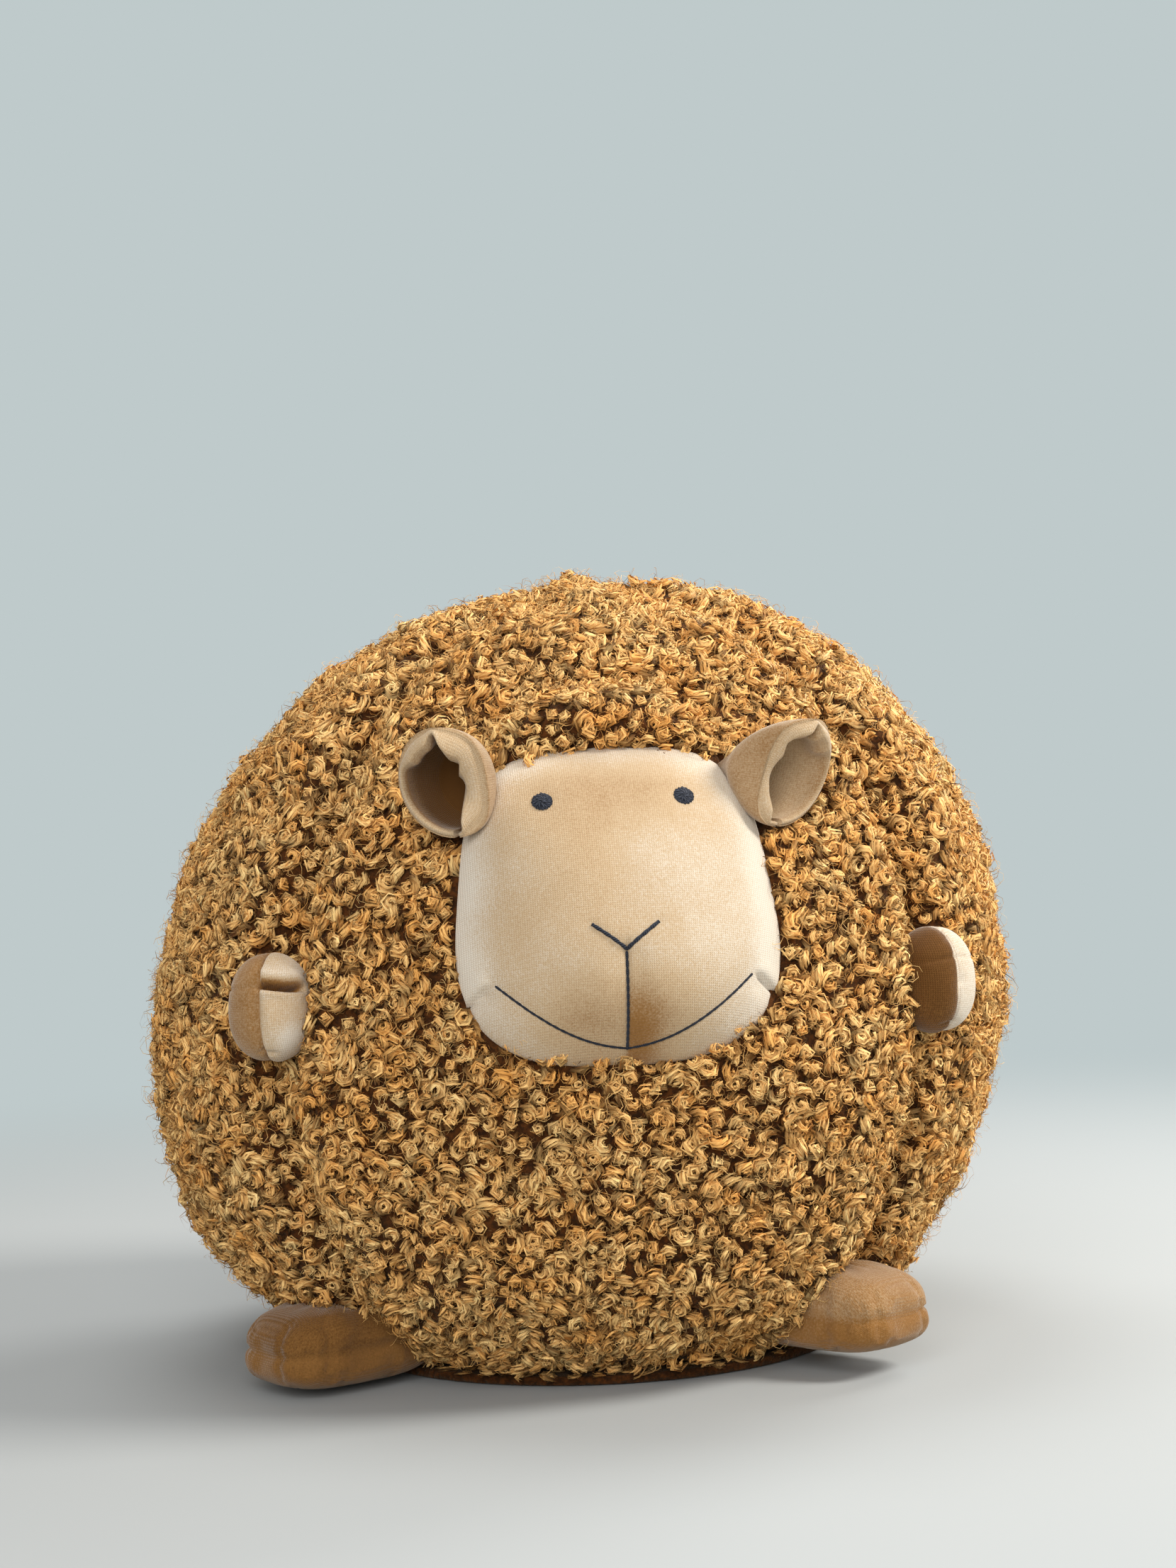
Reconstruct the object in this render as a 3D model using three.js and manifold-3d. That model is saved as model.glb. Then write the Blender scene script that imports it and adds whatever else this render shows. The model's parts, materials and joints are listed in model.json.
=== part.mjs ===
import * as THREE from 'three';
import { mergeVertices } from 'three/addons/utils/BufferGeometryUtils.js';
import Module from 'manifold-3d';

// A round sheep soft toy: a ball of curly pile with a domed velvet face, cupped ears, hands and feet.
// It stands on z = 0 and faces -Y, so +X is the toy's own left. Millimetres and degrees.

const wasm = await Module();
wasm.setup();

// Gap between pieces that touch, and between the cut edges of two pieces sewn together.
const CLEARANCE = 0.3;

// The ball. Azimuth is counted from the front towards +X.
const BALL_RADIUS = 174; // to the tips of the pile round the face
const BALL_HEIGHT = 140; // centre above the floor
const PILE_THICKNESS = 16;
const COAT_SWELL = 5; // the pile stands fuller away from the face
const SWELL_START_ANGLE = 30; // from the middle of the face to where that begins
const SWELL_END_ANGLE = 50; // and to where it is complete
const SHIFT = -3.6; // sideways shift of the coat behind the face
const SETTLE = 6; // the ball leans, fuller towards its upper left and lower right
const SEAM_DEPTH = 8.5; // valley that a sewn seam draws into the ball
const SEAM_SPREAD = 14; // half of that valley's width
const SEAM_FADE_ANGLE = 25; // the valley dies out over this angle above the base and below the crown
const FRONT_SEAM_AZIMUTH = 47; // azimuth of the seams beside the front panel, which also hold hands and feet
const SIDE_SEAM_AZIMUTH = 113.5; // azimuth of the seams between side and back panels
const BACK_SEAM_AZIMUTH = 180;

// The face, in its own plane: across, up and out from the centre of the ball.
const FACE_ELEVATION = 16.5;
const FACE_HALF_WIDTH = 57.5;
const FACE_HALF_HEIGHT = 59;
const FACE_RAISE = 2; // middle of its outline above the plane's origin
const FACE_TAPER = 0.12; // wider at the cheeks than at the brow
const BROW_POWER = 4; // squareness of the outline above its middle
const CHIN_POWER = 2.7; // and below it
const FACE_RIM_DEPTH = 6; // edge below the tips of the pile
const MUZZLE_RISE = 17; // crown above the tips of the pile
const MUZZLE_UP = -14; // place of the crown
const FACE_FLAT = 2.2; // above 2 the crown is flatter than a ball's
const FACE_SHOULDER = 0.8; // below 1 the edge turns in more steeply
const VELVET_THICKNESS = 2;
const DART_DEPTH = 1.6;
const DART_SPREAD_ANGLE = 3.5; // half-angle of a dart seen from the crown
const CHIN_DART_ANGLE = -90; // direction of each dart from the crown
const LEFT_DART_ANGLE = -15;
const RIGHT_DART_ANGLE = -165;
const SIDE_DART_START = 0.8; // share of the way out where the corner darts begin

// The raised pad of pile above the face.
const FOREHEAD_UP = 40;
const FOREHEAD_HALF_WIDTH = 50;
const FOREHEAD_HALF_HEIGHT = 54;
const FOREHEAD_RISE = 8;
const FOREHEAD_FLAT = 2.6;
const FOREHEAD_SHOULDER = 0.6;

// Embroidery, in the plane of the face.
const EYE_SPACING = 52;
const EYE_UP = 38.5;
const EYE_DIAMETER = 7.3;
const EYE_RISE = 1.8;
const NOSE_WIDTH = 24;
const NOSE_TOP = -11.5;
const NOSE_TIP = -20.7;
const NOSE_THREAD = 2.8;
const MOUTH_WIDTH = 93;
const MOUTH_END = -28;
const MOUTH_LOW = -52;
const MOUTH_THREAD = 2;

// The ears, cups of two layers on a round sewn root.
const EAR_ANGLE = 47; // direction of the root from the middle of the face
const EAR_STANDOFF = 5; // root outside the edge of the face
const EAR_SINK = 2; // centre of the root below the tips of the pile
const EAR_ROOT_RADIUS = 6.5;
const ROOT_CLEARANCE = 0.5; // the root turns in its socket
const EAR_TOP_LENGTH = 38;
const EAR_SLIT_LENGTH = 20;
const EAR_FACE_CUT = 12; // the cup is shorter by this beside the face
const EAR_WIDTH = 35;
const EAR_HEIGHT = 41;
const EAR_FLARE = 0.8; // below 1 the cup opens early
const EAR_SLIT_ANGLE = 14; // half-angle of the slit where the two edges meet below
const EAR_LAYER = 1.8;
const EAR_HEM = 1.6; // lining stops this far inside the rim
const LEFT_EAR_YAW_ANGLE = 50;
const RIGHT_EAR_YAW_ANGLE = 28;
const LEFT_EAR_DROOP_ANGLE = 6;
const RIGHT_EAR_DROOP_ANGLE = 2;
const EAR_DOWN_ANGLE = 15; // how far an ear flops down and up
const EAR_UP_ANGLE = 25;

// Hands hang in the front seams, feet stick out under them, each turned as it fell.
const HAND_TOP = 36; // above the centre of the ball
const HAND_HEIGHT = 44;
const HAND_WIDTH = 27;
const HAND_DEPTH = 30;
const LEFT_HAND_REACH = 10.5; // out past the ball
const RIGHT_HAND_REACH = 16.5;
const HAND_TAPER = 0.06;
const HAND_LIFT_ANGLE = 40;
const LEFT_FOOT_AZIMUTH = 43.5;
const RIGHT_FOOT_AZIMUTH = -57;
const FOOT_LENGTH = 72;
const FOOT_WIDTH = 51;
const FOOT_HEIGHT = 34;
const LEFT_FOOT_REACH = 29; // out past the ball at the foot's middle
const RIGHT_FOOT_REACH = 41;
const LEFT_FOOT_LIFT = 6.5; // sole above the floor
const RIGHT_FOOT_LIFT = 0.5;
const FOOT_TAPER = 0.1;
const FOOT_DROP_ANGLE = 25;
const PAD_FULLNESS = 2.7; // roundness of a stuffed hand or foot, 2 for an ellipsoid

// Facets.
const PANEL_COLUMNS = 7;
const BODY_ROWS = 18;
const BALL_SIDES = 32;
const FACE_SIDES = 24;
const FACE_RINGS = 6;
const PAD_SIDES = 14;
const PAD_RINGS = 8;
const EAR_COLUMNS = 14;
const EAR_ROWS = 5;
const THREAD_SIDES = 6;
const THREAD_STEP = 8; // length

const { degToRad, euclideanModulo, lerp, radToDeg, smoothstep } = THREE.MathUtils;
const INNER_RADIUS = BALL_RADIUS - PILE_THICKNESS;
const BASE_ELEVATION = -radToDeg(Math.asin(BALL_HEIGHT / BALL_RADIUS));
const BASE_RADIUS = Math.sqrt(BALL_RADIUS ** 2 - BALL_HEIGHT ** 2);
const BASE_THICKNESS = (PILE_THICKNESS * BALL_HEIGHT) / BALL_RADIUS;
const FRONT_SEAMS = [-FRONT_SEAM_AZIMUTH, FRONT_SEAM_AZIMUTH];
const SEAMS = [-SIDE_SEAM_AZIMUTH, ...FRONT_SEAMS, SIDE_SEAM_AZIMUTH, BACK_SEAM_AZIMUTH];
const CENTRE = new THREE.Vector3(0, 0, BALL_HEIGHT);
const CROWN_ANGLE = 90; // straight up
const BEYOND = 4 * BALL_RADIUS; // longer than anything that has to be cut

// A closed surface through rings of points that run anticlockwise as seen from the end point.
function loft(rings, start, end) {
  const sides = rings[0].length;
  const last = rings.length - 1;
  const points = [...rings.flat(), start, end];
  const startIndex = rings.length * sides;
  const endIndex = startIndex + 1;
  const index = [];
  for (let side = 0; side < sides; side++) {
    const next = (side + 1) % sides;
    index.push(startIndex, next, side);
    index.push(endIndex, last * sides + side, last * sides + next);
    for (let ring = 0; ring < last; ring++) {
      const low = ring * sides;
      const high = low + sides;
      index.push(low + side, low + next, high + side);
      index.push(low + next, high + next, high + side);
    }
  }
  return new THREE.BufferGeometry().setFromPoints(points).setIndex(index);
}

// A closed plate between an outer and an inner grid of points.
function plate(outer, inner) {
  const rows = outer.length;
  const columns = outer[0].length;
  const points = [...outer.flat(), ...inner.flat()];
  const at = (layer, row, column) => layer * rows * columns + row * columns + column;
  const index = [];
  const quad = (a, b, c, d) => index.push(a, b, d, b, c, d);
  for (let row = 0; row < rows - 1; row++) {
    for (let column = 0; column < columns - 1; column++) {
      quad(at(0, row, column), at(0, row, column + 1), at(0, row + 1, column + 1), at(0, row + 1, column));
      quad(at(1, row, column), at(1, row + 1, column), at(1, row + 1, column + 1), at(1, row, column + 1));
    }
    const far = columns - 1;
    quad(at(0, row, 0), at(0, row + 1, 0), at(1, row + 1, 0), at(1, row, 0));
    quad(at(0, row, far), at(1, row, far), at(1, row + 1, far), at(0, row + 1, far));
  }
  for (let column = 0; column < columns - 1; column++) {
    const far = rows - 1;
    quad(at(0, 0, column), at(1, 0, column), at(1, 0, column + 1), at(0, 0, column + 1));
    quad(at(0, far, column), at(0, far, column + 1), at(1, far, column + 1), at(1, far, column));
  }
  return new THREE.BufferGeometry().setFromPoints(points).setIndex(index);
}

function solid(geometry, matrix = new THREE.Matrix4()) {
  const bare = geometry.clone().applyMatrix4(matrix);
  bare.deleteAttribute('normal');
  bare.deleteAttribute('uv');
  const merged = mergeVertices(bare);
  const vertProperties = new Float32Array(merged.attributes.position.array);
  const triVerts = new Uint32Array(merged.index.array);
  return new wasm.Manifold(new wasm.Mesh({ numProp: 3, vertProperties, triVerts }));
}

function cut(whole, ...cutters) {
  return cutters.reduce((left, cutter) => left.subtract(cutter), whole);
}

function geometryOf(body) {
  const { vertProperties, triVerts } = body.getMesh();
  const geometry = new THREE.BufferGeometry();
  geometry.setAttribute('position', new THREE.BufferAttribute(new Float32Array(vertProperties), 3));
  geometry.setIndex(new THREE.BufferAttribute(new Uint32Array(triVerts), 1));
  return geometry;
}

const pile = { color: 0xb78447, roughness: 0.95, metalness: 0 };
const velvet = { color: 0xd6b78a, roughness: 0.85, metalness: 0 };
const thread = { color: 0x23262c, roughness: 0.6, metalness: 0 };
const stuffing = { color: 0xf0eee8, roughness: 1, metalness: 0 };

function piece(name, body, finish) {
  const mesh = new THREE.Mesh(geometryOf(body), new THREE.MeshStandardMaterial(finish));
  mesh.name = name;
  return mesh;
}

function angleBetween(one, other) {
  return Math.abs(euclideanModulo(one - other + 180, 360) - 180);
}

function spot(azimuth, elevation, radius) {
  const a = degToRad(azimuth);
  const e = degToRad(elevation);
  const level = radius * Math.cos(e);
  return new THREE.Vector3(level * Math.sin(a), -level * Math.cos(a), radius * Math.sin(e)).add(CENTRE);
}

// The angle between a direction from the ball's centre and the way the face looks.
function angleFromFace(azimuth, elevation) {
  const along = spot(azimuth, elevation, 1).sub(CENTRE);
  return radToDeg(along.angleTo(spot(0, FACE_ELEVATION, 1).sub(CENTRE)));
}

// The ball's outer surface: fuller away from the face, settled to one side and drawn in along the seams.
function bodyRadius(azimuth, elevation) {
  const level = BALL_RADIUS * Math.cos(degToRad(elevation));
  const away = smoothstep(angleFromFace(azimuth, elevation), SWELL_START_ANGLE, SWELL_END_ANGLE);
  const sideways = Math.sin(degToRad(azimuth)) * Math.cos(degToRad(elevation));
  const rising = smoothstep(elevation, BASE_ELEVATION, BASE_ELEVATION + SEAM_FADE_ANGLE);
  const falling = smoothstep(CROWN_ANGLE - elevation, 0, SEAM_FADE_ANGLE);
  const nearest = level * degToRad(Math.min(...SEAMS.map((seam) => angleBetween(azimuth, seam))));
  const lean = SETTLE * Math.sin(degToRad(azimuth)) * Math.sin(degToRad(2 * elevation));
  const fuller = away * (COAT_SWELL + SHIFT * sideways);
  const valley = SEAM_DEPTH * falling * Math.exp(-((nearest / SEAM_SPREAD) ** 2));
  return BALL_RADIUS + rising * (lean + fuller - valley);
}

// Columns gather towards the seams, where the surface turns most.
function panelColumns() {
  return SEAMS.flatMap((seam, i) => {
    const next = i + 1 < SEAMS.length ? SEAMS[i + 1] : SEAMS[0] + 360;
    const share = (column) => (1 - Math.cos((Math.PI * column) / PANEL_COLUMNS)) / 2;
    return Array.from({ length: PANEL_COLUMNS }, (_, column) => lerp(seam, next, share(column)));
  });
}

function bodyGeometry(grow) {
  const columns = panelColumns();
  const rings = [];
  for (let row = 1; row < BODY_ROWS; row++) {
    const elevation = lerp(-CROWN_ANGLE, CROWN_ANGLE, row / BODY_ROWS);
    rings.push(columns.map((azimuth) => spot(azimuth, elevation, bodyRadius(azimuth, elevation) + grow)));
  }
  const ends = [-CROWN_ANGLE, CROWN_ANGLE].map((pole) => spot(0, pole, bodyRadius(0, pole) + grow));
  return loft(rings, ...ends);
}

function ball(radius, centre = CENTRE, sides = BALL_SIDES) {
  return new THREE.SphereGeometry(radius, sides, sides / 2).rotateX(Math.PI / 2).translate(...centre);
}

function baseGeometry(grow) {
  const top = (BASE_RADIUS * INNER_RADIUS) / BALL_RADIUS + grow;
  const disc = new THREE.CylinderGeometry(top, BASE_RADIUS + grow, BASE_THICKNESS + grow, BALL_SIDES);
  return disc.rotateX(Math.PI / 2).translate(0, 0, (BASE_THICKNESS + grow) / 2);
}

// Everything lower than a height.
function below(height) {
  return new THREE.BoxGeometry(BEYOND, BEYOND, BEYOND).translate(0, 0, height - BEYOND / 2);
}

// The upright wedge between two seams, less half the gap of each.
function wedge(from, to) {
  const half = degToRad((to - from) / 2);
  const middle = degToRad((from + to) / 2);
  const apex = CLEARANCE / 2 / Math.sin(half);
  const shape = new THREE.Shape();
  shape.moveTo(apex, 0);
  shape.lineTo(apex + BEYOND * Math.cos(half), -BEYOND * Math.sin(half));
  shape.lineTo(apex + BEYOND * Math.cos(half), BEYOND * Math.sin(half));
  const prism = new THREE.ExtrudeGeometry(shape, { depth: BEYOND, bevelEnabled: false });
  return prism.translate(0, 0, -BEYOND / 2).rotateZ(middle - Math.PI / 2);
}

// A point of the face's plane: across, up, and out along the way the face looks.
function facePoint(across, up, out) {
  const e = degToRad(FACE_ELEVATION);
  const back = up * Math.sin(e) - out * Math.cos(e);
  return new THREE.Vector3(across, back, up * Math.cos(e) + out * Math.sin(e)).add(CENTRE);
}

function inFace(across, up) {
  const rise = (up - FACE_RAISE) / FACE_HALF_HEIGHT;
  const power = rise > 0 ? BROW_POWER : CHIN_POWER;
  const width = FACE_HALF_WIDTH * (1 - FACE_TAPER * rise);
  return Math.abs(across / width) ** power + Math.abs(rise) ** power < 1;
}

function inForehead(across, up) {
  return (across / FOREHEAD_HALF_WIDTH) ** 2 + ((up - FOREHEAD_UP) / FOREHEAD_HALF_HEIGHT) ** 2 < 1;
}

// How far an outline lies from a point inside it, by halving.
function edgeDistance(inside, fromUp, angle) {
  let near = 0;
  let far = BALL_RADIUS;
  while (far - near > CLEARANCE / 100) {
    const middle = (near + far) / 2;
    if (inside(middle * Math.cos(angle), fromUp + middle * Math.sin(angle))) near = middle;
    else far = middle;
  }
  return near;
}

// A stuffed dome on the ball: its edge is sunk in the pile and its crown stands out of it.
const FACE = {
  inside: inFace,
  up: MUZZLE_UP,
  rise: MUZZLE_RISE,
  flat: FACE_FLAT,
  shoulder: FACE_SHOULDER,
  darts: [CHIN_DART_ANGLE, LEFT_DART_ANGLE, RIGHT_DART_ANGLE],
};
const FOREHEAD = {
  inside: inForehead,
  up: FOREHEAD_UP,
  rise: FOREHEAD_RISE,
  flat: FOREHEAD_FLAT,
  shoulder: FOREHEAD_SHOULDER,
  darts: [],
};

function dartDepth(angle, share) {
  const direction = radToDeg(angle);
  const onDart = (dart) => angleBetween(direction, dart) < DART_SPREAD_ANGLE / 2;
  if (onDart(CHIN_DART_ANGLE)) return DART_DEPTH * smoothstep(share, 0, 1 - SIDE_DART_START);
  const onCorner = onDart(LEFT_DART_ANGLE) || onDart(RIGHT_DART_ANGLE);
  if (onCorner) return DART_DEPTH * smoothstep(share, SIDE_DART_START, 1);
  return 0;
}

function domeHeight(dome, angle, share, grow = 0) {
  const edge = edgeDistance(dome.inside, dome.up, angle);
  const across = edge * Math.cos(angle);
  const up = dome.up + edge * Math.sin(angle);
  const rim = Math.sqrt((BALL_RADIUS - FACE_RIM_DEPTH) ** 2 - across ** 2 - up ** 2);
  const crown = Math.sqrt(BALL_RADIUS ** 2 - dome.up ** 2) + dome.rise;
  const height = lerp(rim, crown, (1 - share ** dome.flat) ** dome.shoulder);
  return height + grow - (dome.darts.length > 0 ? dartDepth(angle, share) : 0);
}

function domeAngles(dome) {
  const flanks = [-DART_SPREAD_ANGLE, 0, DART_SPREAD_ANGLE];
  const fixed = dome.darts.flatMap((dart) => flanks.map((flank) => dart + flank + 360));
  const even = Array.from({ length: FACE_SIDES }, (_, k) => (360 * k) / FACE_SIDES);
  const clear = even.filter((a) => fixed.every((f) => Math.abs(a - f) > DART_SPREAD_ANGLE));
  return [...clear, ...fixed].sort((a, b) => a - b).map(degToRad);
}

function domeRing(dome, grow, share, height) {
  return domeAngles(dome).map((angle) => {
    const reach = (edgeDistance(dome.inside, dome.up, angle) + grow) * share;
    return facePoint(reach * Math.cos(angle), dome.up + reach * Math.sin(angle), height(angle));
  });
}

function domeGeometry(dome, grow) {
  const deep = INNER_RADIUS / 2 - grow;
  const rings = [domeRing(dome, grow, 1, () => deep)];
  for (let ring = 0; ring < FACE_RINGS; ring++) {
    const share = Math.cos((Math.PI / 2) * (ring / FACE_RINGS));
    rings.push(domeRing(dome, grow, share, (angle) => domeHeight(dome, angle, share, grow)));
  }
  return loft(rings, facePoint(0, dome.up, deep), facePoint(0, dome.up, domeHeight(dome, 0, 0, grow)));
}

// The dome's outline as a straight hole through the pile.
function holeGeometry(dome) {
  const levels = [INNER_RADIUS / 2, BEYOND];
  const rings = levels.map((level) => domeRing(dome, CLEARANCE, 1, () => level));
  return loft(rings, ...levels.map((level) => facePoint(0, dome.up, level)));
}

// The point of the face's surface over a place in its plane.
function onFace(across, up) {
  const angle = Math.atan2(up - FACE.up, across);
  const share = Math.hypot(across, up - FACE.up) / edgeDistance(FACE.inside, FACE.up, angle);
  return facePoint(across, up, domeHeight(FACE, angle, share));
}

function faceNormal(across, up) {
  const aside = onFace(across + CLEARANCE, up).sub(onFace(across - CLEARANCE, up));
  const upward = onFace(across, up + CLEARANCE).sub(onFace(across, up - CLEARANCE));
  return aside.cross(upward).normalize();
}

// A line of thread over places in the plane of the face.
function threadGeometry(width, length, place) {
  const steps = Math.ceil(length / THREAD_STEP);
  const places = Array.from({ length: steps + 1 }, (_, k) => place(k / steps));
  const path = new THREE.CatmullRomCurve3(places.map(([across, up]) => onFace(across, up)));
  const section = new THREE.Shape().absarc(0, 0, width / 2, 0, 2 * Math.PI);
  const extrude = { steps, curveSegments: THREAD_SIDES, extrudePath: path, bevelEnabled: false };
  return new THREE.ExtrudeGeometry(section, extrude);
}

// A stuffed pad that swells at its middle and tapers upwards.
function padGeometry(depth, width, height, taper, inset) {
  const power = (value) => Math.sign(value) * Math.abs(value) ** (2 / PAD_FULLNESS);
  const rings = [];
  for (let ring = 1; ring < PAD_RINGS; ring++) {
    const slope = -Math.PI / 2 + (Math.PI * ring) / PAD_RINGS;
    const rise = power(Math.sin(slope));
    const spread = power(Math.cos(slope)) * (1 - taper * rise);
    rings.push(Array.from({ length: PAD_SIDES }, (_, k) => {
      const turn = (2 * Math.PI * (k + 0.5)) / PAD_SIDES;
      const x = (depth / 2 - inset) * spread * power(Math.cos(turn));
      const y = (width / 2 - inset) * spread * power(Math.sin(turn));
      return new THREE.Vector3(x, y, (height / 2 - inset) * rise);
    }));
  }
  const end = new THREE.Vector3(0, 0, height / 2 - inset);
  return loft(rings, end.clone().negate(), end);
}

function hinge(group, axis, from, to) {
  group.userData.hinge = { axis, range: [from, to] };
  return group;
}

const faceSolid = solid(domeGeometry(FACE, 0));
const faceCutter = solid(domeGeometry(FACE, CLEARANCE));
const faceHole = solid(holeGeometry(FACE));
const foreheadHole = solid(holeGeometry(FOREHEAD));
const innerBall = solid(ball(INNER_RADIUS));

function earRoot(side) {
  const angle = degToRad(EAR_ANGLE);
  const reach = edgeDistance(inFace, FACE_RAISE, angle) + EAR_STANDOFF;
  const across = reach * Math.cos(angle);
  const up = FACE_RAISE + reach * Math.sin(angle);
  const out = Math.sqrt((BALL_RADIUS - EAR_SINK) ** 2 - across ** 2 - up ** 2);
  return facePoint(side * across, up, out);
}

// One layer of an ear: local Z runs out along the cup, Y to its top, and the slit lies opposite the top.
function earLayer(side, inset, firstRow, hem) {
  const half = Math.PI - degToRad(EAR_SLIT_ANGLE);
  const pointAt = (row, column, deeper) => {
    const turn = lerp(-half, half, column / EAR_COLUMNS);
    const towardsFace = Math.max(0, Math.sin(side * turn));
    const even = lerp(EAR_SLIT_LENGTH, EAR_TOP_LENGTH, (1 + Math.cos(turn)) / 2);
    const length = even - EAR_FACE_CUT * towardsFace;
    const share = Math.min(row / EAR_ROWS, 1 - hem / length);
    const swell = Math.sin((share * Math.PI) / 2) ** EAR_FLARE;
    const across = lerp(EAR_ROOT_RADIUS - CLEARANCE, EAR_WIDTH / 2, swell) - deeper;
    const tall = lerp(EAR_ROOT_RADIUS - CLEARANCE, EAR_HEIGHT / 2, swell) - deeper;
    return new THREE.Vector3(-across * Math.sin(turn), tall * Math.cos(turn), length * share);
  };
  const grid = (deeper) => Array.from({ length: EAR_ROWS + 1 - firstRow }, (_, row) =>
    Array.from({ length: EAR_COLUMNS + 1 }, (_, column) => pointAt(firstRow + row, column, deeper)));
  return plate(grid(inset), grid(inset + EAR_LAYER));
}

function ear(name, side, yaw, droop) {
  const group = new THREE.Group();
  group.position.copy(earRoot(side));
  const axis = spot(side * yaw, -droop, 1).sub(CENTRE);
  const across = new THREE.Vector3(0, 0, 1).cross(axis).normalize();
  const top = axis.clone().cross(across);
  group.quaternion.setFromRotationMatrix(new THREE.Matrix4().makeBasis(across, top, axis));
  group.updateMatrix();
  const toLocal = group.matrix.clone().invert();
  const domes = [FACE, FOREHEAD].map((dome) => domeGeometry(dome, CLEARANCE));
  const swept = [-EAR_UP_ANGLE, 0, EAR_DOWN_ANGLE].flatMap((turn) => {
    const moved = new THREE.Matrix4().makeRotationX(-degToRad(turn)).multiply(toLocal);
    return [bodyGeometry(CLEARANCE), ...domes].map((shape) => solid(shape, moved));
  });
  const origin = new THREE.Vector3();
  const knob = solid(ball(EAR_ROOT_RADIUS, origin, PAD_SIDES));
  const clearKnob = solid(ball(EAR_ROOT_RADIUS + CLEARANCE, origin, PAD_SIDES));
  const outer = cut(solid(earLayer(side, 0, 0, 0)), ...swept).add(knob);
  const lining = cut(solid(earLayer(side, EAR_LAYER + CLEARANCE, 1, EAR_HEM)), ...swept, clearKnob);
  group.add(piece(`${name}_ear_outer`, outer, velvet));
  group.add(piece(`${name}_ear_lining`, lining, velvet));
  return hinge(group, across, -EAR_UP_ANGLE, EAR_DOWN_ANGLE);
}

// A group at the side of the ball, with local X pointing straight out of it.
function limbGroup(azimuth, out, height) {
  const group = new THREE.Group();
  group.position.copy(spot(azimuth, 0, out)).setZ(height);
  group.rotation.z = degToRad(azimuth) - Math.PI / 2;
  group.updateMatrix();
  return group;
}

function limbPieces(group, pad, offset, normal, lift, names) {
  const toLocal = group.matrix.clone().invert();
  const place = new THREE.Matrix4().makeTranslation(...offset);
  const seat = solid(bodyGeometry(CLEARANCE), toLocal);
  const floor = solid(below(lift), toLocal);
  const cover = cut(solid(pad(0), place), solid(pad(VELVET_THICKNESS), place), seat, floor);
  const half = new THREE.BoxGeometry(BEYOND, BEYOND, BEYOND);
  const shift = normal.clone().multiplyScalar((BEYOND + CLEARANCE) / 2);
  const first = new THREE.Matrix4().makeTranslation(...offset.clone().add(shift));
  const second = new THREE.Matrix4().makeTranslation(...offset.clone().sub(shift));
  const fill = cut(solid(pad(VELVET_THICKNESS + CLEARANCE), place), seat, floor);
  group.add(piece(names[0], cover.intersect(solid(half, first)), velvet));
  group.add(piece(names[1], cover.intersect(solid(half, second)), velvet));
  group.add(piece(names[2], fill, stuffing));
}

function hand(name, side, reach) {
  const rise = HAND_TOP - HAND_HEIGHT / 2;
  const pivotOut = Math.sqrt(BALL_RADIUS ** 2 - HAND_TOP ** 2) - SEAM_DEPTH;
  const group = limbGroup(side * FRONT_SEAM_AZIMUTH, pivotOut, BALL_HEIGHT + HAND_TOP);
  const out = BALL_RADIUS + reach - HAND_DEPTH / 2;
  const offset = new THREE.Vector3(out - pivotOut, 0, rise - HAND_TOP);
  const pad = (inset) => padGeometry(HAND_DEPTH, HAND_WIDTH, HAND_HEIGHT, HAND_TAPER, inset);
  const names = ['front', 'back', 'fill'].map((part) => `${name}_hand_${part}`);
  limbPieces(group, pad, offset, new THREE.Vector3(0, -side, 0), 0, names);
  return hinge(group, new THREE.Vector3(0, -1, 0).applyQuaternion(group.quaternion), 0, HAND_LIFT_ANGLE);
}

function foot(name, azimuth, lift, reach) {
  const middle = lift + FOOT_HEIGHT / 2;
  const pivotOut = BASE_RADIUS + CLEARANCE;
  const group = limbGroup(azimuth, pivotOut, lift);
  const out = Math.sqrt(BALL_RADIUS ** 2 - (BALL_HEIGHT - middle) ** 2) + reach - FOOT_LENGTH / 2;
  const offset = new THREE.Vector3(out - pivotOut, 0, FOOT_HEIGHT / 2);
  const pad = (inset) => padGeometry(FOOT_LENGTH, FOOT_WIDTH, FOOT_HEIGHT, FOOT_TAPER, inset);
  const names = ['upper', 'sole', 'fill'].map((part) => `${name}_foot_${part}`);
  limbPieces(group, pad, offset, new THREE.Vector3(0, 0, 1), lift, names);
  return hinge(group, new THREE.Vector3(0, 1, 0).applyQuaternion(group.quaternion), 0, FOOT_DROP_ANGLE);
}

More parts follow.
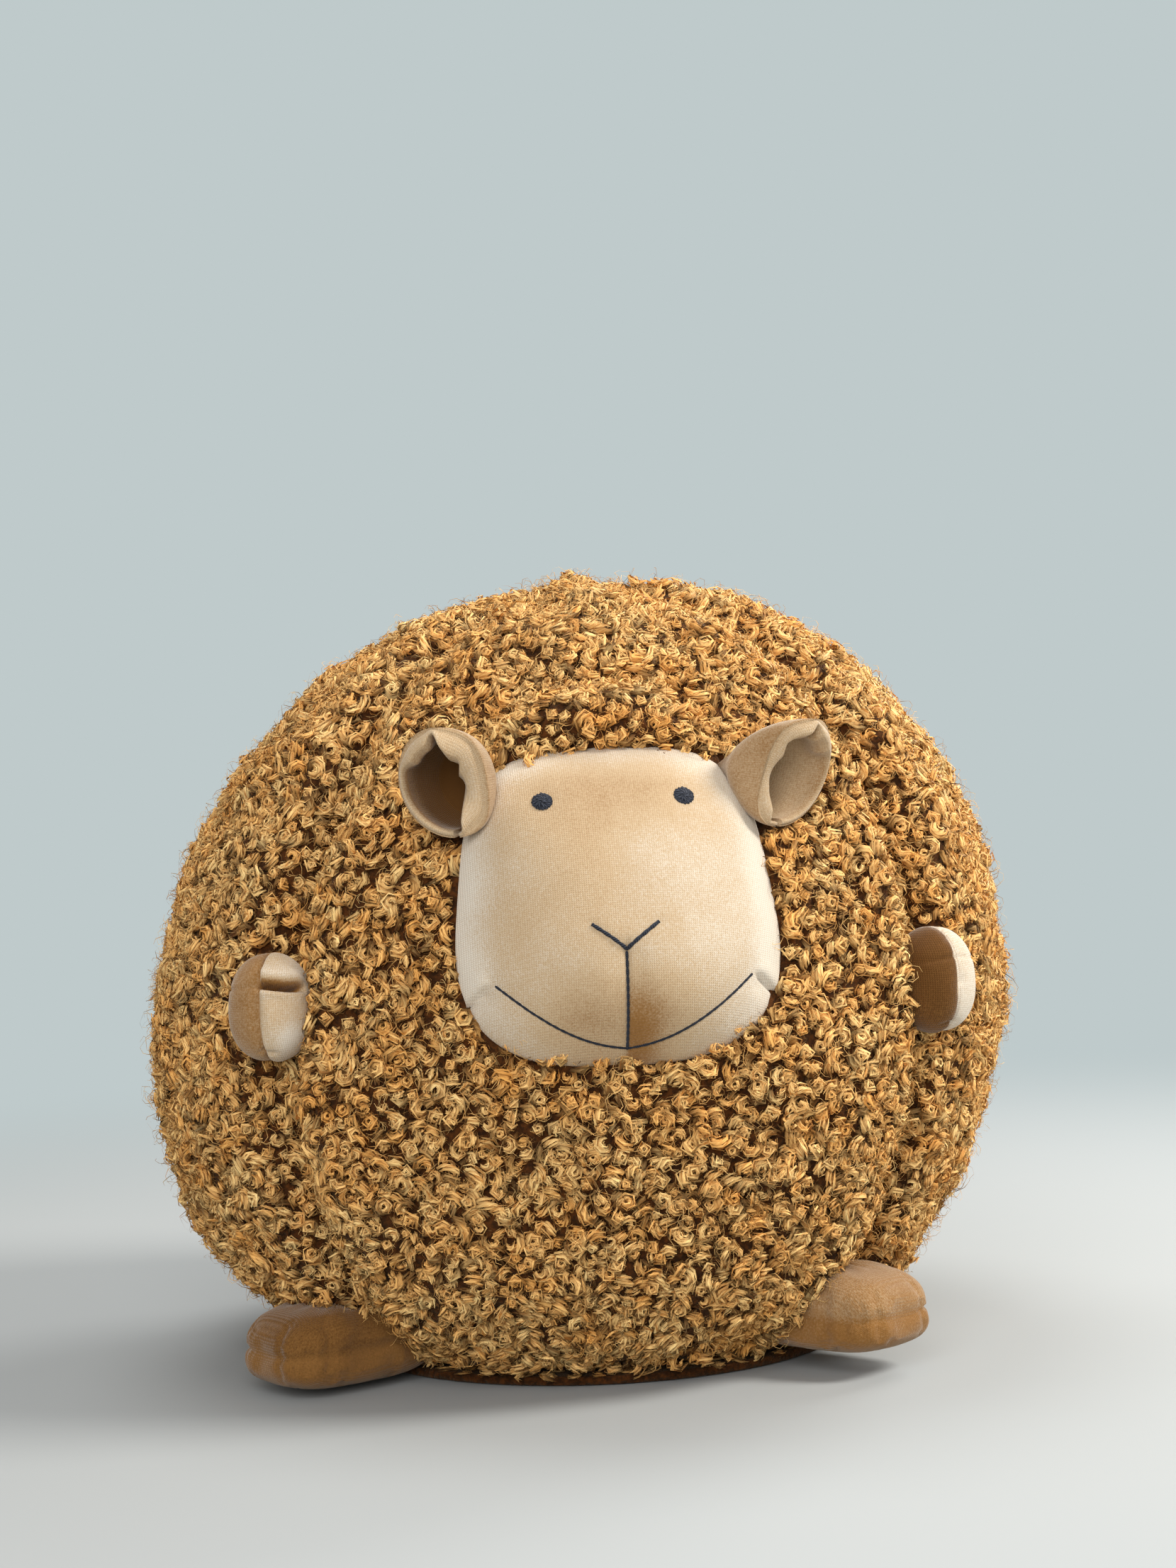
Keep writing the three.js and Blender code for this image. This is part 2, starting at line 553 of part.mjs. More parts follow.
function body() {
  const group = new THREE.Group();
  const socketRadius = EAR_ROOT_RADIUS + ROOT_CLEARANCE;
  const sockets = [1, -1].map((side) => solid(ball(socketRadius, earRoot(side), PAD_SIDES)));
  const underside = solid(baseGeometry(CLEARANCE)).add(solid(below(CLEARANCE)));
  const shell = cut(solid(bodyGeometry(0)), innerBall, underside);
  const panel = (from, to) => shell.intersect(solid(wedge(from, to)));
  const front = cut(panel(-FRONT_SEAM_AZIMUTH, FRONT_SEAM_AZIMUTH), faceHole, foreheadHole, ...sockets);
  const core = cut(solid(ball(INNER_RADIUS - CLEARANCE)), solid(below(BASE_THICKNESS + 2 * CLEARANCE)));
  group.add(piece('body_fill', core, stuffing));
  group.add(piece('front_panel', front, pile));
  group.add(piece('left_side_panel', panel(FRONT_SEAM_AZIMUTH, SIDE_SEAM_AZIMUTH), pile));
  group.add(piece('right_side_panel', panel(-SIDE_SEAM_AZIMUTH, -FRONT_SEAM_AZIMUTH), pile));
  group.add(piece('left_back_panel', panel(SIDE_SEAM_AZIMUTH, BACK_SEAM_AZIMUTH), pile));
  group.add(piece('right_back_panel', panel(-BACK_SEAM_AZIMUTH, -SIDE_SEAM_AZIMUTH), pile));
  group.add(piece('base_panel', solid(baseGeometry(0)), pile));

  const forehead = cut(solid(domeGeometry(FOREHEAD, 0)), faceHole, innerBall, ...sockets);
  const cover = cut(faceSolid, solid(domeGeometry(FACE, -VELVET_THICKNESS)), innerBall, ...sockets);
  const behind = cut(solid(domeGeometry(FACE, -VELVET_THICKNESS - CLEARANCE)), innerBall, ...sockets);
  group.add(piece('forehead_panel', forehead, pile));
  group.add(piece('face_panel', cover, velvet));
  group.add(piece('face_fill', behind, stuffing));
  return group;
}

function embroidery() {
  const group = new THREE.Group();
  const eye = (side) => {
    const across = (side * EYE_SPACING) / 2;
    const knot = new THREE.SphereGeometry(EYE_DIAMETER / 2, PAD_SIDES, PAD_RINGS);
    const outward = new THREE.Vector3(0, 0, 1);
    const slope = new THREE.Quaternion().setFromUnitVectors(outward, faceNormal(across, EYE_UP));
    const flat = new THREE.Vector3(1, 1, (2 * EYE_RISE) / EYE_DIAMETER);
    return cut(solid(knot, new THREE.Matrix4().compose(onFace(across, EYE_UP), slope, flat)), faceCutter);
  };
  const arm = (side) => (share) => [lerp(0, (side * NOSE_WIDTH) / 2, share), lerp(NOSE_TIP, NOSE_TOP, share)];
  const mouthUp = (across) => lerp(MOUTH_LOW, MOUTH_END, (across / (MOUTH_WIDTH / 2)) ** 2);
  const mouth = (share) => {
    const across = MOUTH_WIDTH * (share - 0.5);
    return [across, mouthUp(across)];
  };
  const lineTop = NOSE_TIP - NOSE_THREAD / 2 - CLEARANCE;
  const lineEnd = MOUTH_LOW + MOUTH_THREAD / 2 + CLEARANCE;
  const noseArm = (side) => solid(threadGeometry(NOSE_THREAD, NOSE_WIDTH / 2, arm(side)));
  const middle = (share) => [0, lerp(lineTop, lineEnd, share)];
  const line = solid(threadGeometry(MOUTH_THREAD, lineTop - lineEnd, middle));
  const smile = solid(threadGeometry(MOUTH_THREAD, MOUTH_WIDTH, mouth));
  group.add(piece('left_eye', eye(1), thread));
  group.add(piece('right_eye', eye(-1), thread));
  group.add(piece('nose_stitch', cut(noseArm(1).add(noseArm(-1)), faceCutter), thread));
  group.add(piece('centre_stitch', cut(line, faceCutter), thread));
  group.add(piece('mouth_stitch', cut(smile, faceCutter), thread));
  return group;
}

const sheep = new THREE.Group();
sheep.add(body());
sheep.add(embroidery());
sheep.add(ear('left', 1, LEFT_EAR_YAW_ANGLE, LEFT_EAR_DROOP_ANGLE));
sheep.add(ear('right', -1, RIGHT_EAR_YAW_ANGLE, RIGHT_EAR_DROOP_ANGLE));
sheep.add(hand('left', 1, LEFT_HAND_REACH));
sheep.add(hand('right', -1, RIGHT_HAND_REACH));
sheep.add(foot('left', LEFT_FOOT_AZIMUTH, LEFT_FOOT_LIFT, LEFT_FOOT_REACH));
sheep.add(foot('right', RIGHT_FOOT_AZIMUTH, RIGHT_FOOT_LIFT, RIGHT_FOOT_REACH));

export default sheep;
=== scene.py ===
"""A round sheep soft toy of curly pile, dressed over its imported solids.

The frame gives every place. Lengths are in metres and angles in degrees, unless a name says
otherwise. The toy faces -Y and stands on z = 0, so +X is its own left.
"""

from __future__ import annotations

import sys
import json
import logging
import math
from dataclasses import dataclass, field
from enum import Enum
from typing import Any, Sequence

import bpy
import numpy as np
from mathutils import Matrix, Vector, noise
from mathutils.bvhtree import BVHTree


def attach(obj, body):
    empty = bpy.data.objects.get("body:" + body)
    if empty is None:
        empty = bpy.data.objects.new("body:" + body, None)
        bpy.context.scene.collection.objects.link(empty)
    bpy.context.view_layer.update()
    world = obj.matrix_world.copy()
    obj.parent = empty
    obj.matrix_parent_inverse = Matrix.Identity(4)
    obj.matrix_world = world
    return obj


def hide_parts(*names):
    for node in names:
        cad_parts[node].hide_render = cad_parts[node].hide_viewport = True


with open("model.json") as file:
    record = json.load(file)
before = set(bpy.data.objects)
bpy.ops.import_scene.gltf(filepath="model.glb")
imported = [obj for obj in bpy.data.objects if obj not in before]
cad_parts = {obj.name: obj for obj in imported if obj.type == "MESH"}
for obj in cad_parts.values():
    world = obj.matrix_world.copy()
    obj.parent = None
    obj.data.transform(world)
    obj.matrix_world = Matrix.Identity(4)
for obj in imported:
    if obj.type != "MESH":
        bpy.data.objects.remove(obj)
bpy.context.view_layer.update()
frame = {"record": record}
LOG = logging.getLogger("sheep")

MM = 0.001
CLOTH_TILE = 100 * MM
Colour = tuple[float, float, float]


# numbers


def smoothstep(value: np.ndarray | float, low: float, high: float) -> np.ndarray:
    """Eases from 0 at low to 1 at high."""
    share = np.clip((np.asarray(value, float) - low) / (high - low), 0.0, 1.0)
    return share * share * (3.0 - 2.0 * share)


def bell(distance: np.ndarray | float, spread: float) -> np.ndarray:
    """A rounded bump of height 1 that is gone about two spreads away."""
    return np.exp(-((np.asarray(distance, float) / spread) ** 2))


def mix(low: Any, high: Any, share: Any) -> Any:
    """The value a share of the way from low to high."""
    return low + (high - low) * share


def paint(red: int, green: int, blue: int) -> Colour:
    """A colour given in screen values, as the linear colour that shaders use.

    Args:
        red: from 0 to 255.
        green: from 0 to 255.
        blue: from 0 to 255.

    Returns:
        The three linear parts.
    """

    def linear(part: int) -> float:
        """One part of the colour, made linear."""
        value = part / 255.0
        return value / 12.92 if value <= 0.04045 else ((value + 0.055) / 1.055) ** 2.4

    return linear(red), linear(green), linear(blue)


def drift(points: np.ndarray, size: float, seed: float) -> np.ndarray:
    """Smooth random values, about -1 to 1, that change over a length.

    Args:
        points: places, one per row.
        size: length over which the value changes.
        seed: a shift that picks another pattern.

    Returns:
        One value per place.
    """
    flat = points.reshape(-1, 3) / size + seed
    values = [noise.noise(Vector(point)) for point in flat]
    return np.array(values).reshape(points.shape[:-1])


@dataclass(frozen=True)
class Groove:
    """A soft groove in cloth, drawn in along a line."""

    depth: float
    width: float

    def at(self, distance: np.ndarray) -> np.ndarray:
        """How far the cloth is drawn in at each distance from the line."""
        return self.depth * bell(distance, self.width)


# meshes


def grid_faces(rows: int, columns: int, closed: bool = False) -> list[tuple[int, int, int, int]]:
    """Quads over a grid of points kept row by row.

    Args:
        rows: number of rows.
        columns: points in a row.
        closed: whether the last column joins the first.

    Returns:
        Four point numbers for each quad.
    """
    faces = []
    for row in range(rows - 1):
        for column in range(columns if closed else columns - 1):
            near, far = row * columns, (row + 1) * columns
            following = (column + 1) % columns
            faces.append((near + column, near + following, far + following, far + column))
    return faces


def closed_faces(rows: int, columns: int) -> list[tuple[int, ...]]:
    """Faces over rows of points that join up into rings, with a flat face at both ends."""
    ends = [tuple(range(columns))[::-1], tuple(range((rows - 1) * columns, rows * columns))]
    return [*grid_faces(rows, columns, True), *ends]


def mesh_piece(
    name: str,
    points: np.ndarray,
    faces: Sequence[Sequence[int]],
    material: bpy.types.Material | None = None,
) -> bpy.types.Object:
    """A new smooth object from points and faces.

    Args:
        name: name of the piece.
        points: places, one per row.
        faces: point numbers of each face.
        material: its finish.

    Returns:
        The object, linked to the scene.
    """
    mesh = bpy.data.meshes.new(name)
    mesh.from_pydata([tuple(map(float, p)) for p in points], [], [tuple(map(int, f)) for f in faces], False)
    mesh.validate()
    piece = bpy.data.objects.new(name, mesh)
    bpy.context.scene.collection.objects.link(piece)
    if material is not None:
        mesh.materials.append(material)
    return piece


def point_map(piece: bpy.types.Object, name: str, values: np.ndarray) -> None:
    """Gives a piece a UV map that has one pair of values for each point.

    Args:
        piece: the object.
        name: name of the map.
        values: a pair for each point.
    """
    mesh = piece.data
    corner = np.empty(len(mesh.loops), np.int32)
    mesh.loops.foreach_get("vertex_index", corner)
    layer = mesh.uv_layers.new(name=name)
    layer.data.foreach_set("uv", np.asarray(values, np.float32)[corner].ravel())


def point_values(piece: bpy.types.Object, name: str, values: np.ndarray) -> None:
    """Gives a piece a named number for each point."""
    layer = piece.data.attributes.new(name, "FLOAT", "POINT")
    layer.data.foreach_set("value", np.asarray(values, np.float32).ravel())


def places_of(mesh: bpy.types.Mesh) -> np.ndarray:
    """The points of a mesh, one per row.

    Args:
        mesh: the mesh to read.

    Returns:
        An array of three columns.
    """
    flat = np.empty(3 * len(mesh.vertices), np.float32)
    mesh.vertices.foreach_get("co", flat)
    return flat.reshape(-1, 3).astype(float)


def set_places(mesh: bpy.types.Mesh, points: np.ndarray) -> None:
    """Moves the points of a mesh."""
    mesh.vertices.foreach_set("co", np.asarray(points, np.float32).ravel())
    mesh.update()


def stock_shape(name: str, points: np.ndarray, faces: Sequence[Sequence[int]],
                maps: dict[str, Sequence[Any]]) -> bpy.types.Object:
    """A new object that is not linked to the scene.

    Args:
        name: name of the shape.
        points: places, one per row.
        faces: point numbers of each face.
        maps: UV maps by name, with a pair for each corner of the faces.

    Returns:
        The object.
    """
    mesh = bpy.data.meshes.new(name)
    mesh.from_pydata([tuple(p) for p in points], [], faces, False)
    for layer, values in maps.items():
        mesh.uv_layers.new(name=layer).data.foreach_set("uv", np.array(values, np.float32).ravel())
    return bpy.data.objects.new(name, mesh)


def grown(piece: bpy.types.Object) -> bpy.types.Object:
    """Turns a piece with live modifiers into a plain mesh.

    Args:
        piece: the object with its modifiers.

    Returns:
        The same object, with no modifier left.
    """
    graph = bpy.context.evaluated_depsgraph_get()
    mesh = bpy.data.meshes.new_from_object(piece.evaluated_get(graph), depsgraph=graph)
    before = piece.data
    piece.modifiers.clear()
    piece.data = mesh
    mesh.name = piece.name
    if before.users == 0:
        bpy.data.meshes.remove(before)
    return piece


def deliver(piece: bpy.types.Object, body: str, nodes: Sequence[str] = ()) -> None:
    """Hangs a finished piece on its body and reports it.

    Args:
        piece: the finished object.
        body: the body that it moves with.
        nodes: the solids that it stands for.
    """
    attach(piece, body)
    if nodes:
        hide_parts(*nodes)
    triangles = sum(len(face.vertices) - 2 for face in piece.data.polygons)
    LOG.info("%s on %s: %d triangles", piece.name, body, triangles)


# nodes


class Graph:
    """The nodes of one tree, added by type."""

    def __init__(self, tree: bpy.types.NodeTree) -> None:
        """Starts on a tree."""
        self.tree = tree

    def add(self, kind: str, settings: dict[str, Any] | None = None, **sockets: Any) -> bpy.types.Node:
        """Adds a node.

        Args:
            kind: the node's type.
            settings: properties, set before the sockets.
            sockets: values or links by socket name, with _ for a blank.

        Returns:
            The node.
        """
        node = self.tree.nodes.new(kind)
        for key, value in (settings or {}).items():
            setattr(node, key, value)
        for key, value in sockets.items():
            self.feed(self.socket(node.inputs, key), value)
        return node

    @staticmethod
    def socket(sockets: Any, name: str) -> bpy.types.NodeSocket:
        """The socket in use that has a name, with _ read as a blank."""
        wanted = name.replace("_", " ").lower()
        return next(s for s in sockets if s.enabled and s.name.replace("_", " ").lower() == wanted)

    def feed(self, socket: bpy.types.NodeSocket, value: Any) -> None:
        """Links or sets one input.

        Args:
            socket: the input.
            value: a wire or output to link, or a plain value to set.
        """
        if isinstance(value, Wire):
            value = value.socket
        if isinstance(value, bpy.types.NodeSocket):
            self.tree.links.new(value, socket)
        elif isinstance(value, tuple) and socket.type == "RGBA" and len(value) == 3:
            socket.default_value = (*value, 1.0)
        else:
            socket.default_value = value

    def reckon(self, operation: str, *values: Any) -> Wire:
        """One step of arithmetic on values in order.

        Args:
            operation: the step, as Math nodes name it.
            values: what it works on.

        Returns:
            The result.
        """
        node = self.tree.nodes.new("ShaderNodeMath")
        node.operation = operation
        for socket, value in zip(node.inputs, values):
            self.feed(socket, value)
        return Wire(self, node.outputs[0])

    def shaders(self, share: Any, first: bpy.types.Node, second: bpy.types.Node) -> bpy.types.NodeSocket:
        """Two shaders mixed by a share, from 0 for the first to 1 for the second.

        Args:
            share: how much of the second.
            first: shown at 0.
            second: shown at 1.

        Returns:
            The mixed shader.
        """
        both = self.tree.nodes.new("ShaderNodeMixShader")
        for socket, value in zip(both.inputs, (share, first.outputs[0], second.outputs[0])):
            self.feed(socket, value)
        return both.outputs[0]

    def wire(self, node: bpy.types.Node, name: str) -> Wire:
        """One output of a node as a number to reckon with."""
        return Wire(self, self.socket(node.outputs, name))


@dataclass(frozen=True)
class Wire:
    """A socket that reads like a number in sums."""

    graph: Graph
    socket: bpy.types.NodeSocket

    def reckon(self, operation: str, *others: Any) -> Wire:
        """One step of arithmetic on this value."""
        return self.graph.reckon(operation, self, *others)

    def behind(self, operation: str, first: float) -> Wire:
        """One step of arithmetic that has this value second."""
        return self.graph.reckon(operation, first, self)

    def __add__(self, other: Any) -> Wire:
        """Sum."""
        return self.reckon("ADD", other)

    def __radd__(self, other: float) -> Wire:
        """Sum with a number first."""
        return self.behind("ADD", other)

    def __sub__(self, other: Any) -> Wire:
        """Difference."""
        return self.reckon("SUBTRACT", other)

    def __rsub__(self, other: float) -> Wire:
        """Difference with a number first."""
        return self.behind("SUBTRACT", other)

    def __mul__(self, other: Any) -> Wire:
        """Product."""
        return self.reckon("MULTIPLY", other)

    def __rmul__(self, other: float) -> Wire:
        """Product with a number first."""
        return self.behind("MULTIPLY", other)

    def __truediv__(self, other: Any) -> Wire:
        """Quotient."""
        return self.reckon("DIVIDE", other)

    def __rtruediv__(self, other: float) -> Wire:
        """Quotient with a number first."""
        return self.behind("DIVIDE", other)

    def __pow__(self, other: Any) -> Wire:
        """Power."""
        return self.reckon("POWER", other)

    def eased(self, low: float, high: float) -> Wire:
        """Eases from 0 where this value is low to 1 where it is high.

        Args:
            low: value that gives 0.
            high: value that gives 1.

        Returns:
            The eased value.
        """
        node = self.graph.add("ShaderNodeMapRange", {"interpolation_type": "SMOOTHSTEP"}, Value=self,
                              From_Min=low, From_Max=high)
        return self.graph.wire(node, "Result")


class ClothGraph(Graph):
    """The nodes of one cloth finish, with the steps that finishes share."""

    def __init__(self, name: str) -> None:
        """Starts an empty finish.

        Args:
            name: name of the material.
        """
        self.material = bpy.data.materials.new(name)
        self.material.use_nodes = True
        super().__init__(self.material.node_tree)
        self.tree.nodes.clear()

    def vector(self, x: Any, y: Any, z: Any) -> Wire:
        """Three numbers as one vector."""
        return self.wire(self.add("ShaderNodeCombineXYZ", None, X=x, Y=y, Z=z), "Vector")

    def own_map(self, name: str) -> tuple[Wire, Wire]:
        """The two values of a piece's own UV map.

        Args:
            name: name of the map.

        Returns:
            The map's first and second value.
        """
        source = self.add("ShaderNodeUVMap", {"uv_map": name})
        parts = self.add("ShaderNodeSeparateXYZ", None, Vector=source.outputs["UV"])
        return self.wire(parts, "X"), self.wire(parts, "Y")

    def own_value(self, name: str) -> Wire:
        """A piece's own named number."""
        return self.wire(self.add("ShaderNodeAttribute", {"attribute_name": name}), "Fac")

    def place(self) -> Wire:
        """The place on the toy."""
        return self.wire(self.add("ShaderNodeTexCoord"), "Object")

    def cloud(self, where: Wire, scale: float, detail: float = 2.0, shift: Any = 0.0) -> Wire:
        """Soft random values.

        Args:
            where: the place that is read.
            scale: patches per unit.
            detail: finer layers.
            shift: picks another pattern.

        Returns:
            A value around one half.
        """
        node = self.add("ShaderNodeTexNoise", {"noise_dimensions": "4D"}, Vector=where, W=shift,
                        Scale=scale, Detail=detail, Roughness=0.6)
        return self.wire(node, "Fac")

    def tint(self, share: Any, low: Any, high: Any) -> Wire:
        """A colour between two others.

        Args:
            share: from 0, the first colour, to 1, the second.
            low: the first colour.
            high: the second colour.

        Returns:
            The colour.
        """
        node = self.tree.nodes.new("ShaderNodeMix")
        node.data_type = "RGBA"
        self.feed(node.inputs[0], share)
        self.feed(node.inputs[6], low)
        self.feed(node.inputs[7], high)
        return Wire(self, node.outputs[2])

    def finish(self, colour: Wire, height: Wire, depth: float, strength: float, roughness: float,
               sheen: float, sheen_colour: Colour, sheen_spread: float,
               gloss: float = 0.15) -> bpy.types.Material:
        """Ends the finish in one cloth surface.

        Args:
            colour: its colour.
            height: relief, from 0 to 1.
            depth: what a height of 1 stands for.
            strength: how strongly the relief shows.
            roughness: its roughness.
            sheen: weight of the soft light that short fibres give.
            sheen_colour: colour of that light.
            sheen_spread: how widely it spreads.
            gloss: how much the surface mirrors.

        Returns:
            The material.
        """
        bump = self.add("ShaderNodeBump", None, Strength=strength, Distance=depth, Height=height)
        surface = self.add("ShaderNodeBsdfPrincipled", None, Base_Color=colour, Roughness=roughness,
                           Normal=bump.outputs["Normal"], Sheen_Weight=sheen,
                           Sheen_Roughness=sheen_spread, Sheen_Tint=sheen_colour,
                           Specular_IOR_Level=gloss)
        self.add("ShaderNodeOutputMaterial", None, Surface=surface.outputs["BSDF"])
        return self.material


# finishes


@dataclass(frozen=True)
class PileFinish:
    """Curly caramel pile: each lock has painted shade darkening it towards its root and in the grooves
    between its strands, and is paler or darker at random from lock to lock.
    """

    # Painted shade: the dark root colour stands for the shade deep in the pile.
    root: Colour = paint(72, 38, 9)
    middle: Colour = paint(240, 176, 92)
    tip: Colour = paint(255, 224, 154)
    # Partly fibre tone, partly painted shade in the grooves between strands.
    groove: Colour = paint(178, 114, 46)
    sheen: Colour = paint(255, 232, 190)
    # Painted shade: the backing is darkened to stand for the shadow between the locks.
    backing_dark: Colour = paint(44, 23, 6)
    backing_light: Colour = paint(86, 47, 14)
    twist: float = 4.0
    strands: float = 1.7
    fibres: float = 5.5
    strand_weight: float = 0.45
    fibre_weight: float = 0.55
    tones: float = 40.0
    patches: float = 38.0
    root_end: float = 0.04
    wool_start: float = 0.6

    def material(self) -> bpy.types.Material:
        """The finish of the locks, read along and around each of them.

        Returns:
            The material.
        """
        graph = ClothGraph("curly_pile")
        along, around = graph.own_map("LockUV")
        tone = graph.own_value("lock_tone")
        turn = around * math.tau + along * self.twist
        where = graph.vector(along * 1.2, turn.reckon("COSINE"), turn.reckon("SINE"))
        strand = graph.cloud(where, self.strands, 1.0, tone * self.tones).eased(0.36, 0.56)
        fibre = graph.cloud(where, self.fibres, 1.0, tone * self.tones).eased(0.36, 0.58)
        streak = strand * self.strand_weight + fibre * self.fibre_weight
        patch = graph.cloud(graph.place(), self.patches, 2.0).eased(0.3, 0.7)
        light = graph.tint(tone * 0.6 + patch * 0.4, self.middle, self.tip)
        # Fibre streaks: partly fibre tone, partly painted shade in the grooves, which the same streaks sink
        # by bump.
        wool = graph.tint(streak, self.groove, light)
        # Painted shade: each lock darkens towards its root, where the locks shade each other.
        colour = graph.tint(along.eased(self.root_end, self.wool_start), self.root, wool)
        return graph.finish(colour, streak, depth=0.25 * MM, strength=0.5, roughness=0.6, sheen=0.05,
                            sheen_colour=self.sheen, sheen_spread=0.4, gloss=0.12)

    def backing(self) -> bpy.types.Material:
        """The finish of the cloth that the locks grow from, seen only deep between them and painted dark as
        the shade there.

        Returns:
            The material.
        """
        graph = ClothGraph("pile_backing")
        where = graph.place()
        fluff = graph.cloud(where, 420.0, 3.0)
        colour = graph.tint(fluff.eased(0.35, 0.7), self.backing_dark, self.backing_light)
        return graph.finish(colour, fluff, depth=1.5 * MM, strength=1.0, roughness=0.95, sheen=0.1,
                            sheen_colour=self.sheen, sheen_spread=0.5)


@dataclass(frozen=True)
class VelvetFinish:
    """Short tan velvet on a fine knitted ground, with painted light and shade from each piece's own values.
    """

    # The darkest colour is painted shade for hollows, and the palest is a painted highlight.
    hollow: Colour = paint(74, 44, 13)
    shade: Colour = paint(134, 94, 48)
    colour: Colour = paint(190, 166, 132)
    brushed: Colour = paint(222, 214, 198)
    sheen: Colour = paint(255, 248, 236)
    pitch: float = 0.8 * MM
    patches: float = 34.0
    fibres: float = 1300.0
    patch_weight: float = 0.5
    fibre_weight: float = 0.7
    knit_shade: float = 0.4

    def material(self) -> bpy.types.Material:
        """The finish, read along the threads of each piece's own cloth and from its painted light and shade.

        The painted value runs from about -1, painted shade in hollows, to 1, a painted highlight; random
        patches of tone are added to it.

        Returns:
            The material.
        """
        graph = ClothGraph("tan_velvet")
        across, up = graph.own_map("ClothUV")
        wale = (across * (math.tau * CLOTH_TILE / self.pitch)).reckon("SINE")
        course = (up * (math.tau * CLOTH_TILE / self.pitch) + wale * 1.3).reckon("SINE")
        knit = wale * 0.25 + course * 0.25 + 0.5
        where = graph.place()
        cloudy = graph.cloud(where, self.patches, 3.0) - 0.5
        fluff = graph.cloud(where, self.fibres, 2.0)
        # Painted light and shade from each piece, with random patches of tone added.
        nap = graph.own_value("nap") + cloudy * self.patch_weight + (fluff - 0.5) * self.fibre_weight
        deep = graph.tint(nap.eased(-0.5, 0.05), self.hollow, self.shade)
        dark = graph.tint(nap.eased(-0.05, 0.55), deep, self.colour)
        ground = graph.tint(nap.eased(0.45, 1.05), dark, self.brushed)
        colour = graph.tint((1.0 - knit) * self.knit_shade, ground, self.shade)
        height = knit * 0.5 + fluff * 0.5
        return graph.finish(colour, height, depth=0.32 * MM, strength=0.8, roughness=0.85, sheen=0.4,
                            sheen_colour=self.sheen, sheen_spread=0.4, gloss=0.1)


@dataclass(frozen=True)
class ThreadFinish:
    """Dark embroidery thread of twisted plies."""

    dark: Colour = paint(20, 22, 28)
    light: Colour = paint(62, 66, 76)
    sheen: Colour = paint(150, 160, 180)

    def material(self) -> bpy.types.Material:
        """The finish, read along and around each stitch.

        Returns:
            The material.
        """
        graph = ClothGraph("dark_thread")
        along, around = graph.own_map("LockUV")
        ply = ((around * 3.0 + along * 4.0) * math.tau).reckon("SINE") * 0.5 + 0.5
        colour = graph.tint(ply ** 2.0, self.dark, self.light)
        return graph.finish(colour, ply, depth=0.2 * MM, strength=0.8, roughness=0.55, sheen=0.2,
                            sheen_colour=self.sheen, sheen_spread=0.4)


@dataclass(frozen=True)
class StuffingFinish:
    """White polyester fibre, which stays out of sight."""

    bright: Colour = paint(244, 243, 240)
    dull: Colour = paint(218, 216, 210)

    def material(self) -> bpy.types.Material:
        """The finish.

        Returns:
            The material.
        """
        graph = ClothGraph("stuffing_fibre")
        fluff = graph.cloud(graph.place(), 240.0, 4.0)
        colour = graph.tint(fluff.eased(0.3, 0.7), self.dull, self.bright)
        return graph.finish(colour, fluff, depth=1.5 * MM, strength=0.7, roughness=0.95, sheen=0.1,
                            sheen_colour=self.bright, sheen_spread=0.5)


@dataclass
class Wardrobe:
    """One material of each finish."""

    pile: bpy.types.Material = field(default_factory=lambda: PileFinish().material())
    backing: bpy.types.Material = field(default_factory=lambda: PileFinish().backing())
    velvet: bpy.types.Material = field(default_factory=lambda: VelvetFinish().material())
    thread: bpy.types.Material = field(default_factory=lambda: ThreadFinish().material())
    stuffing: bpy.types.Material = field(default_factory=lambda: StuffingFinish().material())


# forms


